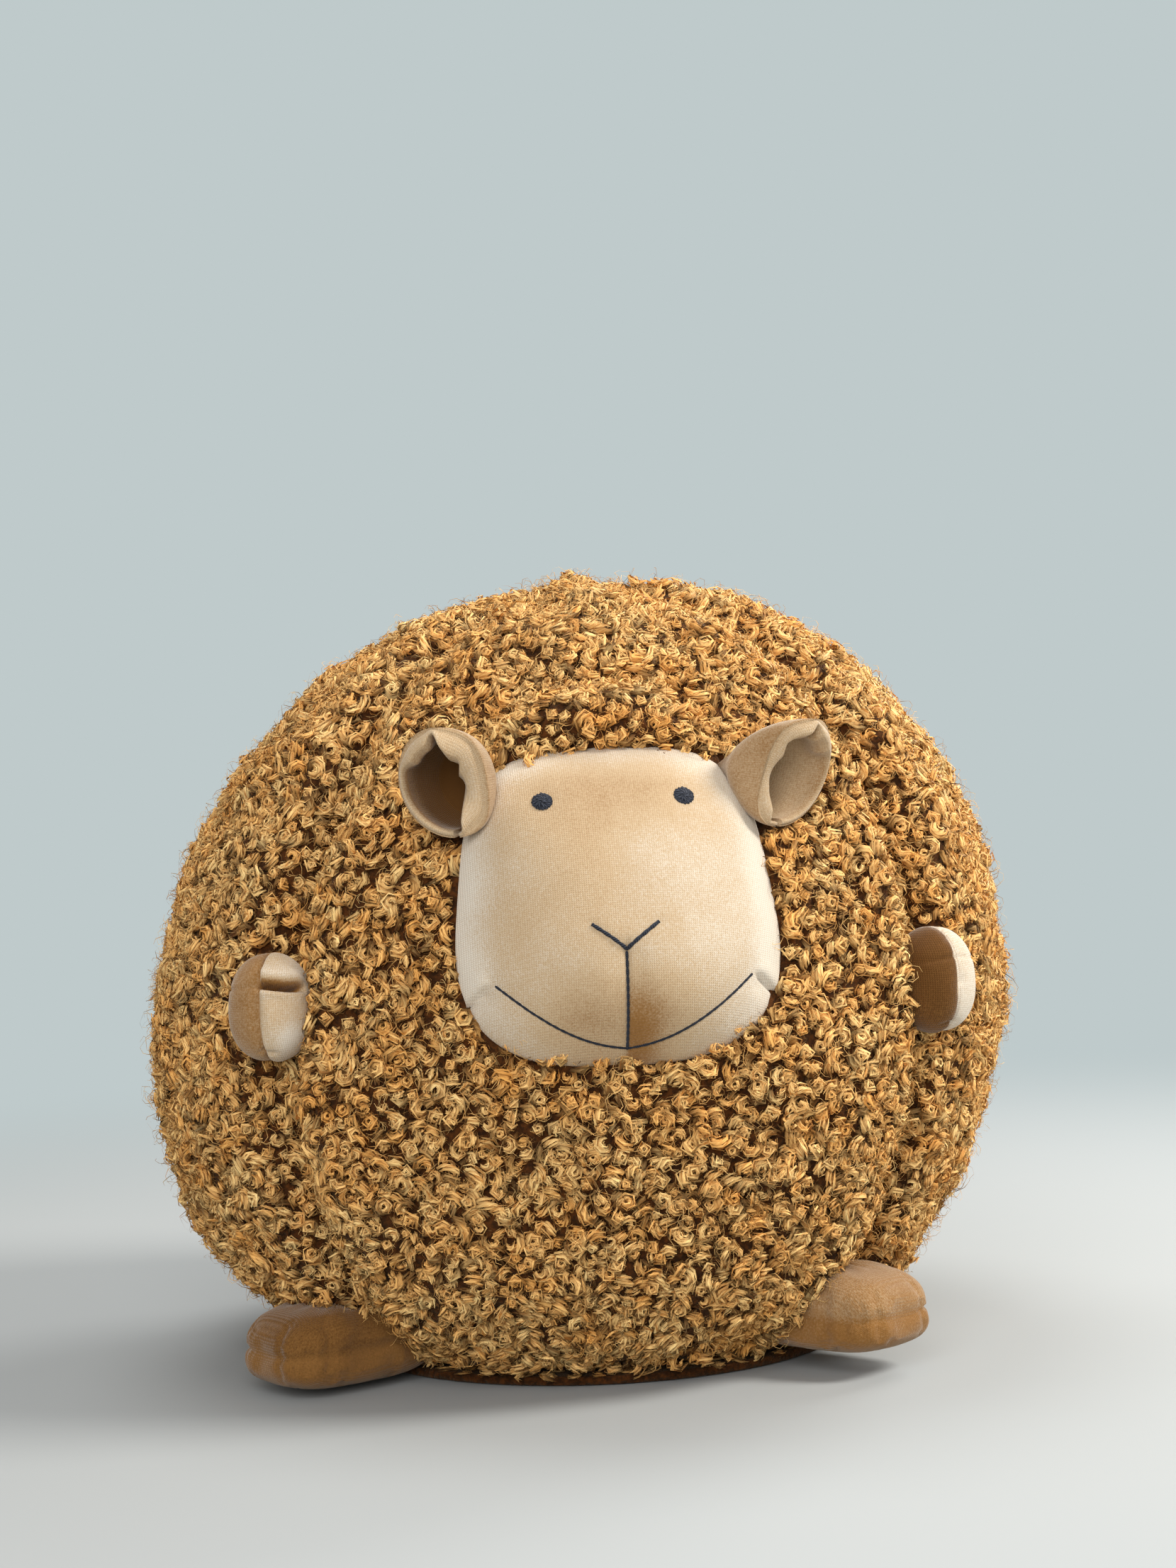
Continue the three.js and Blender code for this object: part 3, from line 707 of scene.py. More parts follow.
@dataclass(frozen=True)
class Ball:
    """The stuffed ball to the tips of its pile.

    It is fuller away from the face, has settled to one side and is drawn in at its seams.
    """

    radius: float = 174 * MM
    height: float = 140 * MM
    swell: float = 5 * MM
    swell_start: float = 30.0
    swell_end: float = 50.0
    shift: float = -3.6 * MM
    settle: float = 6 * MM
    face_elevation: float = 16.5
    seam_depth: float = 8.5 * MM
    seam_spread: float = 14 * MM
    seam_fade: float = 25.0
    front_seam: float = 47.0
    side_seam: float = 113.5
    back_seam: float = 180.0

    @property
    def foot_elevation(self) -> float:
        """Elevation at which the ball meets the floor."""
        return -math.degrees(math.asin(self.height / self.radius))

    @property
    def base_radius(self) -> float:
        """Radius of the flat that it stands on."""
        return math.sqrt(self.radius**2 - self.height**2)

    def place(self, azimuth: Any, elevation: Any, radius: Any) -> np.ndarray:
        """A point at a direction and distance from the centre.

        Args:
            azimuth: from the front towards +X.
            elevation: above the centre.
            radius: distance from the centre.

        Returns:
            One place for each direction.
        """
        a, e, r = np.broadcast_arrays(np.radians(azimuth), np.radians(elevation), radius)
        level = r * np.cos(e)
        return np.stack([level * np.sin(a), -level * np.cos(a), r * np.sin(e) + self.height], -1)

    def surface(self, azimuth: Any, elevation: Any) -> np.ndarray:
        """Distance of the tips of the pile from the centre in a direction.

        Args:
            azimuth: from the front towards +X.
            elevation: above the centre.

        Returns:
            One distance for each direction.
        """
        rising = smoothstep(elevation, self.foot_elevation, self.foot_elevation + self.seam_fade)
        a, e, face = np.radians(azimuth), np.radians(elevation), math.radians(self.face_elevation)
        lean = self.settle * np.sin(a) * np.sin(2.0 * e)
        level = np.sin(e) * math.sin(face) + np.cos(e) * math.cos(face) * np.cos(a)
        away = smoothstep(np.degrees(np.arccos(np.clip(level, -1.0, 1.0))), self.swell_start, self.swell_end)
        fuller = away * (self.swell + self.shift * np.sin(a) * np.cos(e))
        valley = self.seam_depth * self.along_seam(azimuth, elevation, self.seam_spread)
        return self.radius + rising * (lean + fuller) - valley

    def along_seam(self, azimuth: Any, elevation: Any, spread: float) -> np.ndarray:
        """A bump of height 1 over the seams, which fades towards crown and floor.

        Args:
            azimuth: from the front towards +X.
            elevation: above the centre.
            spread: half the bump's width.

        Returns:
            One value for each direction.
        """
        azimuth, elevation = np.broadcast_arrays(np.asarray(azimuth, float), np.asarray(elevation, float))
        seams = np.array([-self.side_seam, -self.front_seam, self.front_seam, self.side_seam, self.back_seam])
        apart = np.abs((azimuth[..., None] - seams + 180.0) % 360.0 - 180.0).min(-1)
        nearest = self.radius * np.cos(np.radians(elevation)) * np.radians(apart)
        rising = smoothstep(elevation, self.foot_elevation, self.foot_elevation + self.seam_fade)
        falling = smoothstep(90.0 - elevation, 0.0, self.seam_fade)
        return rising * falling * bell(nearest, spread)


@dataclass(frozen=True)
class Dome:
    """A stuffed dome set into the ball, measured across, up and out in the plane of the face."""

    half_width: float
    half_height: float
    centre_up: float
    crown_up: float
    rise: float
    flat: float
    shoulder: float
    taper: float = 0.0
    top_power: float = 2.0
    bottom_power: float = 2.0
    rim_depth: float = 6 * MM
    halvings: int = 40
    ball: Ball = Ball()

    def inside(self, across: np.ndarray, up: np.ndarray, grow: np.ndarray | float = 0.0) -> np.ndarray:
        """Whether places of the plane lie within the outline, widened by grow.

        Args:
            across: places to the toy's left.
            up: places up the plane.
            grow: how much wider the outline is taken.

        Returns:
            One answer for each place.
        """
        rise = (up - self.centre_up) / (self.half_height + grow)
        power = np.where(rise > 0.0, self.top_power, self.bottom_power)
        width = (self.half_width + grow) * (1.0 - self.taper * rise)
        return np.abs(across / width) ** power + np.abs(rise) ** power < 1.0

    def edge(self, angle: np.ndarray) -> np.ndarray:
        """Distance of the outline from the crown in each direction of the plane, by halving.

        Args:
            angle: radians from the toy's left, upwards.

        Returns:
            One distance for each direction.
        """
        near = np.zeros_like(angle)
        far = np.full_like(angle, self.ball.radius)
        for _ in range(self.halvings):
            middle = (near + far) / 2.0
            within = self.inside(middle * np.cos(angle), self.crown_up + middle * np.sin(angle))
            near, far = np.where(within, middle, near), np.where(within, far, middle)
        return near

    def height(self, across: np.ndarray, up: np.ndarray) -> np.ndarray:
        """How far out the dome stands over places of the plane.

        Args:
            across: places to the toy's left.
            up: places up the plane.

        Returns:
            Distance from the plane for each place.
        """
        angle = np.arctan2(up - self.crown_up, across)
        edge = self.edge(angle)
        share = np.clip(np.hypot(across, up - self.crown_up) / edge, 0.0, 1.0)
        rim_across, rim_up = edge * np.cos(angle), self.crown_up + edge * np.sin(angle)
        rim = np.sqrt((self.ball.radius - self.rim_depth) ** 2 - rim_across**2 - rim_up**2)
        crown = math.sqrt(self.ball.radius**2 - self.crown_up**2) + self.rise
        return mix(rim, crown, (1.0 - share**self.flat) ** self.shoulder)

    def world(self, across: Any, up: Any, out: Any) -> np.ndarray:
        """Places of the plane as places in the frame.

        Args:
            across: places to the toy's left.
            up: places up the plane.
            out: distance in front of the plane.

        Returns:
            One place in the frame for each.
        """
        across, up, out = np.broadcast_arrays(across, up, out)
        lean = math.radians(self.ball.face_elevation)
        back = up * math.sin(lean) - out * math.cos(lean)
        rise = up * math.cos(lean) + out * math.sin(lean)
        return np.stack([across, back, rise + self.ball.height], -1)

    def plane(self, points: np.ndarray) -> tuple[np.ndarray, np.ndarray, np.ndarray]:
        """Places in the frame as across, up and out.

        Args:
            points: places in the frame.

        Returns:
            Across, up and out for each place.
        """
        lean = math.radians(self.ball.face_elevation)
        rise = points[..., 2] - self.ball.height
        up = points[..., 1] * math.sin(lean) + rise * math.cos(lean)
        out = -points[..., 1] * math.cos(lean) + rise * math.sin(lean)
        return points[..., 0], up, out


BALL = Ball()
FACE_DOME = Dome(half_width=58.5 * MM, half_height=60.5 * MM, centre_up=3.5 * MM, crown_up=-14 * MM,
                 rise=17 * MM, flat=2.2, shoulder=0.8, taper=0.12, top_power=4.0, bottom_power=2.7)
FOREHEAD_DOME = Dome(half_width=50 * MM, half_height=54 * MM, centre_up=40 * MM, crown_up=40 * MM,
                     rise=8 * MM, flat=2.6, shoulder=0.6)


class Side(Enum):
    """The toy's own sides, with the sign of X."""

    LEFT = 1
    RIGHT = -1

    @property
    def word(self) -> str:
        """The side in a piece's name."""
        return self.name.lower()


def by_side(left: float, right: float) -> Any:
    """A dataclass field that has one value for each side of the toy."""
    return field(default_factory=lambda: {Side.LEFT: left, Side.RIGHT: right})


# stuffed cloth


@dataclass
class Swelling:
    """Swells a sewn cover from inside, as stuffing does, and holds its seams.

    The cover is simulated as cloth under pressure. Held points stay where they are sewn.
    """

    pressure: float = 4.0
    furthest: float = 3 * MM
    spare: float = 0.02
    frames: int = 20
    enlarge: float = 10.0

    def apply(self, piece: bpy.types.Object, held: np.ndarray) -> None:
        """Runs the simulation and keeps its result in the mesh.

        Args:
            piece: a closed cover.
            held: how firmly each point is sewn, from 0 to 1.
        """
        mesh = piece.data
        start = places_of(mesh)
        middle = start.mean(0)
        set_places(mesh, (start - middle) * self.enlarge)
        group = piece.vertex_groups.new(name="sewn")
        for number, weight in enumerate(held):
            group.add([number], float(weight), "REPLACE")
        cloth = piece.modifiers.new("swell", "CLOTH")
        settings = cloth.settings
        settings.quality = 6
        settings.mass = 0.3
        settings.use_pressure = True
        settings.uniform_pressure_force = self.pressure
        settings.vertex_group_mass = group.name
        settings.pin_stiffness = 1.0
        settings.shrink_min = -self.spare
        settings.tension_stiffness = 15.0
        settings.compression_stiffness = 15.0
        settings.bending_stiffness = 0.5
        settings.effector_weights.gravity = 0.0
        cloth.point_cache.frame_start = 1
        cloth.point_cache.frame_end = self.frames
        scene = bpy.context.scene
        for number in range(1, self.frames + 1):
            scene.frame_set(number)
        graph = bpy.context.evaluated_depsgraph_get()
        swollen = places_of(piece.evaluated_get(graph).data) / self.enlarge + middle
        piece.modifiers.clear()
        piece.vertex_groups.clear()
        scene.frame_set(1)
        moved = swollen - start
        reach = np.linalg.norm(moved, axis=1, keepdims=True)
        moved *= np.minimum(1.0, self.furthest / np.maximum(reach, 1e-9))
        set_places(mesh, start + moved)
        LOG.info("%s swelled by up to %.1f mm", piece.name, 1000 * np.linalg.norm(moved, axis=1).max())


# pile


@dataclass(frozen=True)
class Lock:
    """One lock of pile: flat strands laid round a core that winds up from the cloth."""

    turns: float
    loop: float
    rise: float
    girth: float
    hand: int = 1
    sway: float = 0.0
    stretch: float = 1.0
    dip: float = 0.8 * MM
    root_depth: float = 1.0 * MM
    narrowing: float = 0.62
    steps: int = 6
    sides: int = 3
    core: float = 0.72
    strands: int = 8
    strand_steps: int = 5
    strand_width: float = 0.95 * MM
    strand_starts: tuple[float, float] = (0.04, 0.2)
    strand_ends: tuple[float, float] = (0.9, 1.05)
    strand_turns: tuple[float, float] = (0.3, 1.6)
    strand_lifts: tuple[float, float] = (0.8, 1.12)
    strand_sizes: tuple[float, float] = (0.7, 1.15)
    loosest: float = 0.8

    @property
    def corners(self) -> int:
        """Corners of all its faces together."""
        return 4 * self.steps * self.sides + 6 * self.sides + 4 * self.strands * self.strand_steps

    def path(self, share: np.ndarray) -> np.ndarray:
        """The middle of the lock from its root to its tip.

        Args:
            share: from 0 at the root to 1 at the tip.

        Returns:
            One place for each share.
        """
        angle = math.tau * self.turns * share * self.hand
        reach = self.loop * (1.0 - self.narrowing * share)
        height = -self.root_depth + self.rise * np.abs(share) ** 0.75 - self.dip * share**4
        across = self.stretch * reach * np.cos(angle) + self.sway * (share - 0.5)
        return np.stack([across, reach * np.sin(angle), height], -1)

    def _frame(self, share: np.ndarray) -> tuple[np.ndarray, ...]:
        """The lock's middle, its direction, two directions across it and its thickness.

        Args:
            share: from 0 at the root to 1 at the tip.

        Returns:
            These five, each with a row per share.
        """
        middle = self.path(share)
        ahead = self.path(share + 0.01) - self.path(share - 0.01 * (share > 0.01))
        ahead /= np.linalg.norm(ahead, axis=1, keepdims=True)
        outward = middle * np.array([1.0, 1.0, 0.0])
        outward -= ahead * (outward * ahead).sum(1, keepdims=True)
        outward /= np.linalg.norm(outward, axis=1, keepdims=True)
        full = np.sin(math.pi * np.clip(0.12 + 0.80 * share, 0.0, 1.0))
        thick = self.girth * (0.34 + 0.66 * np.maximum(full, 0.0) ** 0.8)
        return middle, ahead, outward, np.cross(ahead, outward), thick

    def build(self, name: str) -> bpy.types.Object:
        """The lock as a shape for stock, with its maps.

        Args:
            name: name of the shape.

        Returns:
            The shape.
        """
        points, faces, threads, tiles = self._core()
        chance = np.random.default_rng(round(self.turns * 1000.0))
        for number in range(self.strands):
            start = len(points)
            line, half, share, turn = self._strand(number, chance)
            points = np.concatenate([points, line - half, line + half])
            low = 0.3 + 0.7 * number / self.strands
            high = low + 0.6 / self.strands
            for step in range(self.strand_steps):
                near, far = start + step, start + self.strand_steps + 1 + step
                faces.append((near, far, far + 1, near + 1))
                for at, edge, tile in ((step, -0.04, low), (step, 0.04, high), (step + 1, 0.04, high),
                                       (step + 1, -0.04, low)):
                    threads.append((float(share[at]), float(turn[at]) / math.tau + edge))
                    tiles.append((at / self.strand_steps, tile))
        return stock_shape(name, points, faces, {"LockUV": threads, "OFBake": tiles})

    def _core(self) -> tuple[np.ndarray, list[tuple[int, ...]], list[Any], list[Any]]:
        """The closed core.

        Returns:
            Its points, its faces, and for each corner its place along and round it and in the lock's tile.
        """
        share = np.linspace(0.0, 1.0, self.steps + 1)
        middle, ahead, outward, across, thick = self._frame(share)
        thick = thick * self.core
        around = math.tau * np.arange(self.sides) / self.sides
        level, aside = np.cos(around)[None, :, None], np.sin(around)[None, :, None]
        rings = middle[:, None] + thick[:, None, None] * (outward[:, None] * level + across[:, None] * aside)
        ends = [middle[0] - ahead[0] * thick[0] * 0.6, middle[-1] + ahead[-1] * thick[-1] * 1.3]
        points = np.concatenate([rings.reshape(-1, 3), np.array(ends)])
        faces: list[tuple[int, ...]] = []
        threads: list[Any] = []
        last = self.steps * self.sides
        for step in range(-1, self.steps + 1):
            for side in range(self.sides):
                here, following = step * self.sides + side, step * self.sides + (side + 1) % self.sides
                corners = [(here, step, side), (following, step, side + 1),
                           (following + self.sides, step + 1, side + 1), (here + self.sides, step + 1, side)]
                if step < 0:
                    corners = [(len(points) - 2, -1, side + 0.5), *corners[3:1:-1]][::-1]
                if step == self.steps:
                    corners = [(last + side, step, side), (last + (side + 1) % self.sides, step, side + 1),
                               (len(points) - 1, step + 1, side + 0.5)]
                faces.append(tuple(number for number, _, _ in corners))
                threads += [((row + 1) / (self.steps + 2), column / self.sides) for _, row, column in corners]
        return points, faces, threads, [(along, 0.25 * around) for along, around in threads]

    def _strand(self, number: int, chance: np.random.Generator) -> tuple[np.ndarray, ...]:
        """One strand: its line, half its width, and its share and turn at each step.

        Args:
            number: which strand, counted round the lock.
            chance: source of random numbers.

        Returns:
            These four, each with a row per step.
        """
        begin = chance.uniform(*self.strand_starts)
        share = np.linspace(begin, chance.uniform(*self.strand_ends), self.strand_steps + 1)
        middle, _, outward, across, thick = self._frame(share)
        turn = math.tau * (number + chance.uniform(-0.3, 0.3)) / self.strands
        turn = turn + chance.uniform(*self.strand_turns) * self.hand * (share - begin)
        loose = chance.uniform(0.0, self.loosest) * ((share - begin) / (1.0 - begin)) ** 3
        lift = thick * (chance.uniform(*self.strand_lifts) + loose)
        away = outward * np.cos(turn)[:, None] + across * np.sin(turn)[:, None]
        aside = outward * -np.sin(turn)[:, None] + across * np.cos(turn)[:, None]
        taper = 0.3 + 0.7 * np.sin(math.pi * np.linspace(0.2, 0.95, self.strand_steps + 1))
        half = aside * (self.strand_width / 2.0 * chance.uniform(*self.strand_sizes) * taper)[:, None]
        return middle + away * lift[:, None], half, share, turn


@dataclass(frozen=True)
class Wisp:
    """A few loose fibres that stand off the locks."""

    seed: int
    reach: float = 3.8 * MM
    rise: float = 8.5 * MM
    width: float = 0.26 * MM
    foot: float = 1.5 * MM
    apart: float = 1.5
    sweeps: tuple[float, float] = (2.2, 4.6)
    reaches: tuple[float, float] = (0.55, 1.0)
    heights: tuple[float, float] = (0.75, 1.0)
    arches: tuple[float, float] = (1.4, 2.4)
    tilt: float = 0.7
    thinning: float = 0.7
    fibres: int = 4
    steps: int = 4

    @property
    def corners(self) -> int:
        """Corners of all its faces together."""
        return 4 * self.fibres * self.steps

    def build(self, name: str) -> bpy.types.Object:
        """The fibres as flat strips, as a shape for stock.

        Args:
            name: name of the shape.

        Returns:
            The shape.
        """
        chance = np.random.default_rng(self.seed)
        share = np.linspace(0.0, 1.0, self.steps + 1)
        points, faces, map_values = [], [], []
        for fibre in range(self.fibres):
            start = chance.uniform(0.0, math.tau)
            sweep = chance.uniform(*self.sweeps) * chance.choice([-1.0, 1.0])
            reach = self.reach * chance.uniform(*self.reaches)
            centre = chance.uniform(-self.apart, self.apart, 2) * MM
            top = self.rise * chance.uniform(*self.heights)
            height = mix(self.foot, top, np.sin(share * chance.uniform(*self.arches)))
            angle = start + sweep * share
            level, over = np.cos(angle), np.sin(angle)
            middle = np.stack([centre[0] + reach * level, centre[1] + reach * over, height], -1)
            aside = np.stack([level, over, np.full_like(angle, chance.uniform(-self.tilt, self.tilt))], -1)
            half = self.width / 2.0 * (1.0 - self.thinning * share)[:, None]
            first = fibre * 2 * (self.steps + 1)
            points += [middle + aside * half, middle - aside * half]
            sides = (0, 1) if sweep < 0.0 else (1, 0)
            for step in range(self.steps):
                near, far = [first + side * (self.steps + 1) + step for side in sides]
                faces.append((near, far, far + 1, near + 1))
                low, high = fibre / self.fibres, (fibre + 0.9) / self.fibres
                map_values += [(share[step], low), (share[step], high), (share[step + 1], high),
                               (share[step + 1], low)]
        return stock_shape(name, np.concatenate(points), faces, {"LockUV": map_values, "OFBake": map_values})


LOCKS = (
    Lock(1.45, 2.7 * MM, 5.6 * MM, 1.95 * MM),
    Lock(1.25, 2.9 * MM, 5.0 * MM, 2.10 * MM, -1, 0.0, 0.9),
    Lock(1.60, 2.6 * MM, 6.0 * MM, 1.85 * MM, -1),
    Lock(1.05, 3.2 * MM, 5.2 * MM, 2.10 * MM, 1, 1.0 * MM, 0.9),
    Lock(1.35, 2.8 * MM, 6.2 * MM, 1.95 * MM, 1, 1.4 * MM),
    Lock(1.15, 3.0 * MM, 4.8 * MM, 2.20 * MM, -1, 0.8 * MM, 0.85),
    Lock(1.75, 2.5 * MM, 6.4 * MM, 1.80 * MM, 1, 0.6 * MM, 0.95),
    Lock(0.85, 3.4 * MM, 5.4 * MM, 2.00 * MM, -1, 1.8 * MM, 0.8),
)
WISPS = tuple(Wisp(seed) for seed in range(4))


class NodeTool:
    """A Geometry Nodes tree with named inputs, which turns a piece into a plain mesh."""

    def __init__(self, name: str, inputs: dict[str, str]) -> None:
        """Starts an empty tree.

        Args:
            name: name of the tree.
            inputs: its inputs besides the geometry, with their types.
        """
        self.tree = bpy.data.node_groups.new(name, "GeometryNodeTree")
        self.graph = Graph(self.tree)
        self.inputs: dict[str, str] = {}
        face = self.tree.interface
        face.new_socket("Geometry", in_out="INPUT", socket_type="NodeSocketGeometry")
        for key, kind in inputs.items():
            socket = face.new_socket(key, in_out="INPUT", socket_type=f"NodeSocket{kind}")
            self.inputs[key] = socket.identifier
        face.new_socket("Geometry", in_out="OUTPUT", socket_type="NodeSocketGeometry")
        self.given = self.graph.add("NodeGroupInput")

    def ask(self, name: str) -> Wire:
        """One input of the tree."""
        return Wire(self.graph, self.given.outputs[name])

    def end(self, geometry: bpy.types.NodeSocket, finish: bpy.types.Material) -> None:
        """Ends the tree in real geometry of one finish.

        Args:
            geometry: what the tree has made.
            finish: its material.
        """
        real = self.graph.add("GeometryNodeRealizeInstances", None, Geometry=geometry)
        dressed = self.graph.add("GeometryNodeSetMaterial", None, Geometry=real.outputs["Geometry"],
                                 Material=finish)
        self.graph.add("NodeGroupOutput", None, Geometry=dressed.outputs["Geometry"])

    def run(self, piece: bpy.types.Object, **sizes: float) -> bpy.types.Object:
        """Puts a piece through the tree.

        Args:
            piece: the object that goes in.
            sizes: the tree's inputs by name.

        Returns:
            The same object, now a plain mesh of what came out.
        """
        modifier = piece.modifiers.new("grow", "NODES")
        modifier.node_group = self.tree
        for key, value in sizes.items():
            modifier[self.inputs[key]] = value
        return grown(piece)


class LockScatter(NodeTool):
    """The tree that sets locks or wisps over a skin."""

    def __init__(self, name: str, shapes: Sequence[Lock | Wisp], finish: bpy.types.Material) -> None:
        """Builds the tree.

        Args:
            name: name of what it scatters.
            shapes: the shapes that it picks from.
            finish: what they are made of.
        """
        self.group = bpy.data.collections.new(name)
        self.corners = shapes[0].corners
        for number, shape in enumerate(shapes):
            self.group.objects.link(shape.build(f"{name}_{number}"))
        super().__init__(f"{name}_scatter", {
            "Spacing": "Float", "Density": "Float", "Seed": "Int", "Smallest": "Float", "Largest": "Float",
            "Lean": "Float", "Flatness": "Float", "Sink": "Float"})
        self._wire(finish, len(shapes))

    def _chance(self, kind: str, low: Any, high: Any, shift: int = 0) -> Wire:
        """A random value for each lock.

        Args:
            kind: its data type.
            low: the least.
            high: the greatest.
            shift: picks another draw.

        Returns:
            The value.
        """
        seed = self.ask("Seed") + shift if shift else self.ask("Seed")
        node = self.graph.add("FunctionNodeRandomValue", {"data_type": kind}, Min=low, Max=high, Seed=seed)
        return self.graph.wire(node, "Value")

    def _wire(self, finish: bpy.types.Material, kinds: int) -> None:
        """Lays out the nodes.

        Args:
            finish: material of the locks.
            kinds: how many shapes there are to pick from.
        """
        graph, ask = self.graph, self.ask
        grows = graph.add("GeometryNodeInputNamedAttribute", {"data_type": "FLOAT"}, Name="pile")
        spread = graph.add("GeometryNodeDistributePointsOnFaces", {"distribute_method": "POISSON"},
                           Mesh=ask("Geometry"), Distance_Min=ask("Spacing"), Density_Max=ask("Density"),
                           Density_Factor=Graph.socket(grows.outputs, "Attribute"), Seed=ask("Seed"))
        lean = ask("Lean")
        low = graph.add("ShaderNodeCombineXYZ", None, X=lean * -1.0, Y=lean * -1.0, Z=0.0)
        high = graph.add("ShaderNodeCombineXYZ", None, X=lean, Y=lean, Z=math.tau)
        spin = self._chance("FLOAT_VECTOR", low.outputs[0], high.outputs[0])
        turned = graph.add("FunctionNodeRotateRotation", {"rotation_space": "LOCAL"},
                           Rotation=spread.outputs["Rotation"], Rotate_By=spin)
        size = self._chance("FLOAT", ask("Smallest"), ask("Largest"), 1)
        flat = graph.add("ShaderNodeCombineXYZ", None, X=size, Y=size, Z=size * ask("Flatness"))
        stock = graph.add("GeometryNodeCollectionInfo", None, Collection=self.group, Separate_Children=True,
                          Reset_Children=True)
        sink = ask("Sink")
        along = graph.add("ShaderNodeVectorMath", {"operation": "SCALE"}, Vector=spread.outputs["Normal"],
                          Scale=self._chance("FLOAT", sink * -1.0, sink * 0.4, 4))
        rooted = graph.add("GeometryNodeSetPosition", None, Geometry=spread.outputs["Points"],
                           Offset=along.outputs["Vector"])
        placed = graph.add("GeometryNodeInstanceOnPoints", None, Points=rooted.outputs["Geometry"],
                           Instance=stock.outputs["Instances"], Pick_Instance=True,
                           Instance_Index=self._chance("INT", 0, kinds - 1, 2),
                           Rotation=turned.outputs["Rotation"], Scale=flat.outputs[0])
        noted = graph.add("GeometryNodeStoreNamedAttribute", {"data_type": "FLOAT", "domain": "INSTANCE"},
                          Geometry=placed.outputs["Instances"], Name="lock_tone",
                          Value=self._chance("FLOAT", 0.0, 1.0, 3))
        self.end(noted.outputs["Geometry"], finish)

    def over(self, skin: bpy.types.Object, **sizes: float) -> bpy.types.Object:
        """Turns a skin into the locks that grow on it.

        Args:
            skin: a mesh with a number called pile at each point, 1 where locks grow.
            sizes: the tree's inputs by name.

        Returns:
            The same object, now a plain mesh of locks.
        """
        piece = self.run(skin, **sizes)
        self._spread_map(piece.data)
        return piece

    def _spread_map(self, mesh: bpy.types.Mesh) -> None:
        """Gives every lock a tile of its own in the second map.

        Args:
            mesh: the locks, each with as many corners.
        """
        corners = self.corners
        count = len(mesh.loops) // corners
        across = math.ceil(math.sqrt(count))
        values = np.empty(2 * len(mesh.loops), np.float32)
        layer = mesh.uv_layers["OFBake"]
        layer.data.foreach_get("uv", values)
        tiles = values.reshape(count, corners, 2)
        number = np.arange(count)
        corner = np.stack([number % across, number // across], -1)[:, None]
        spread = (corner + 0.04 + 0.92 * tiles) / across
        layer.data.foreach_set("uv", spread.astype(np.float32).ravel())


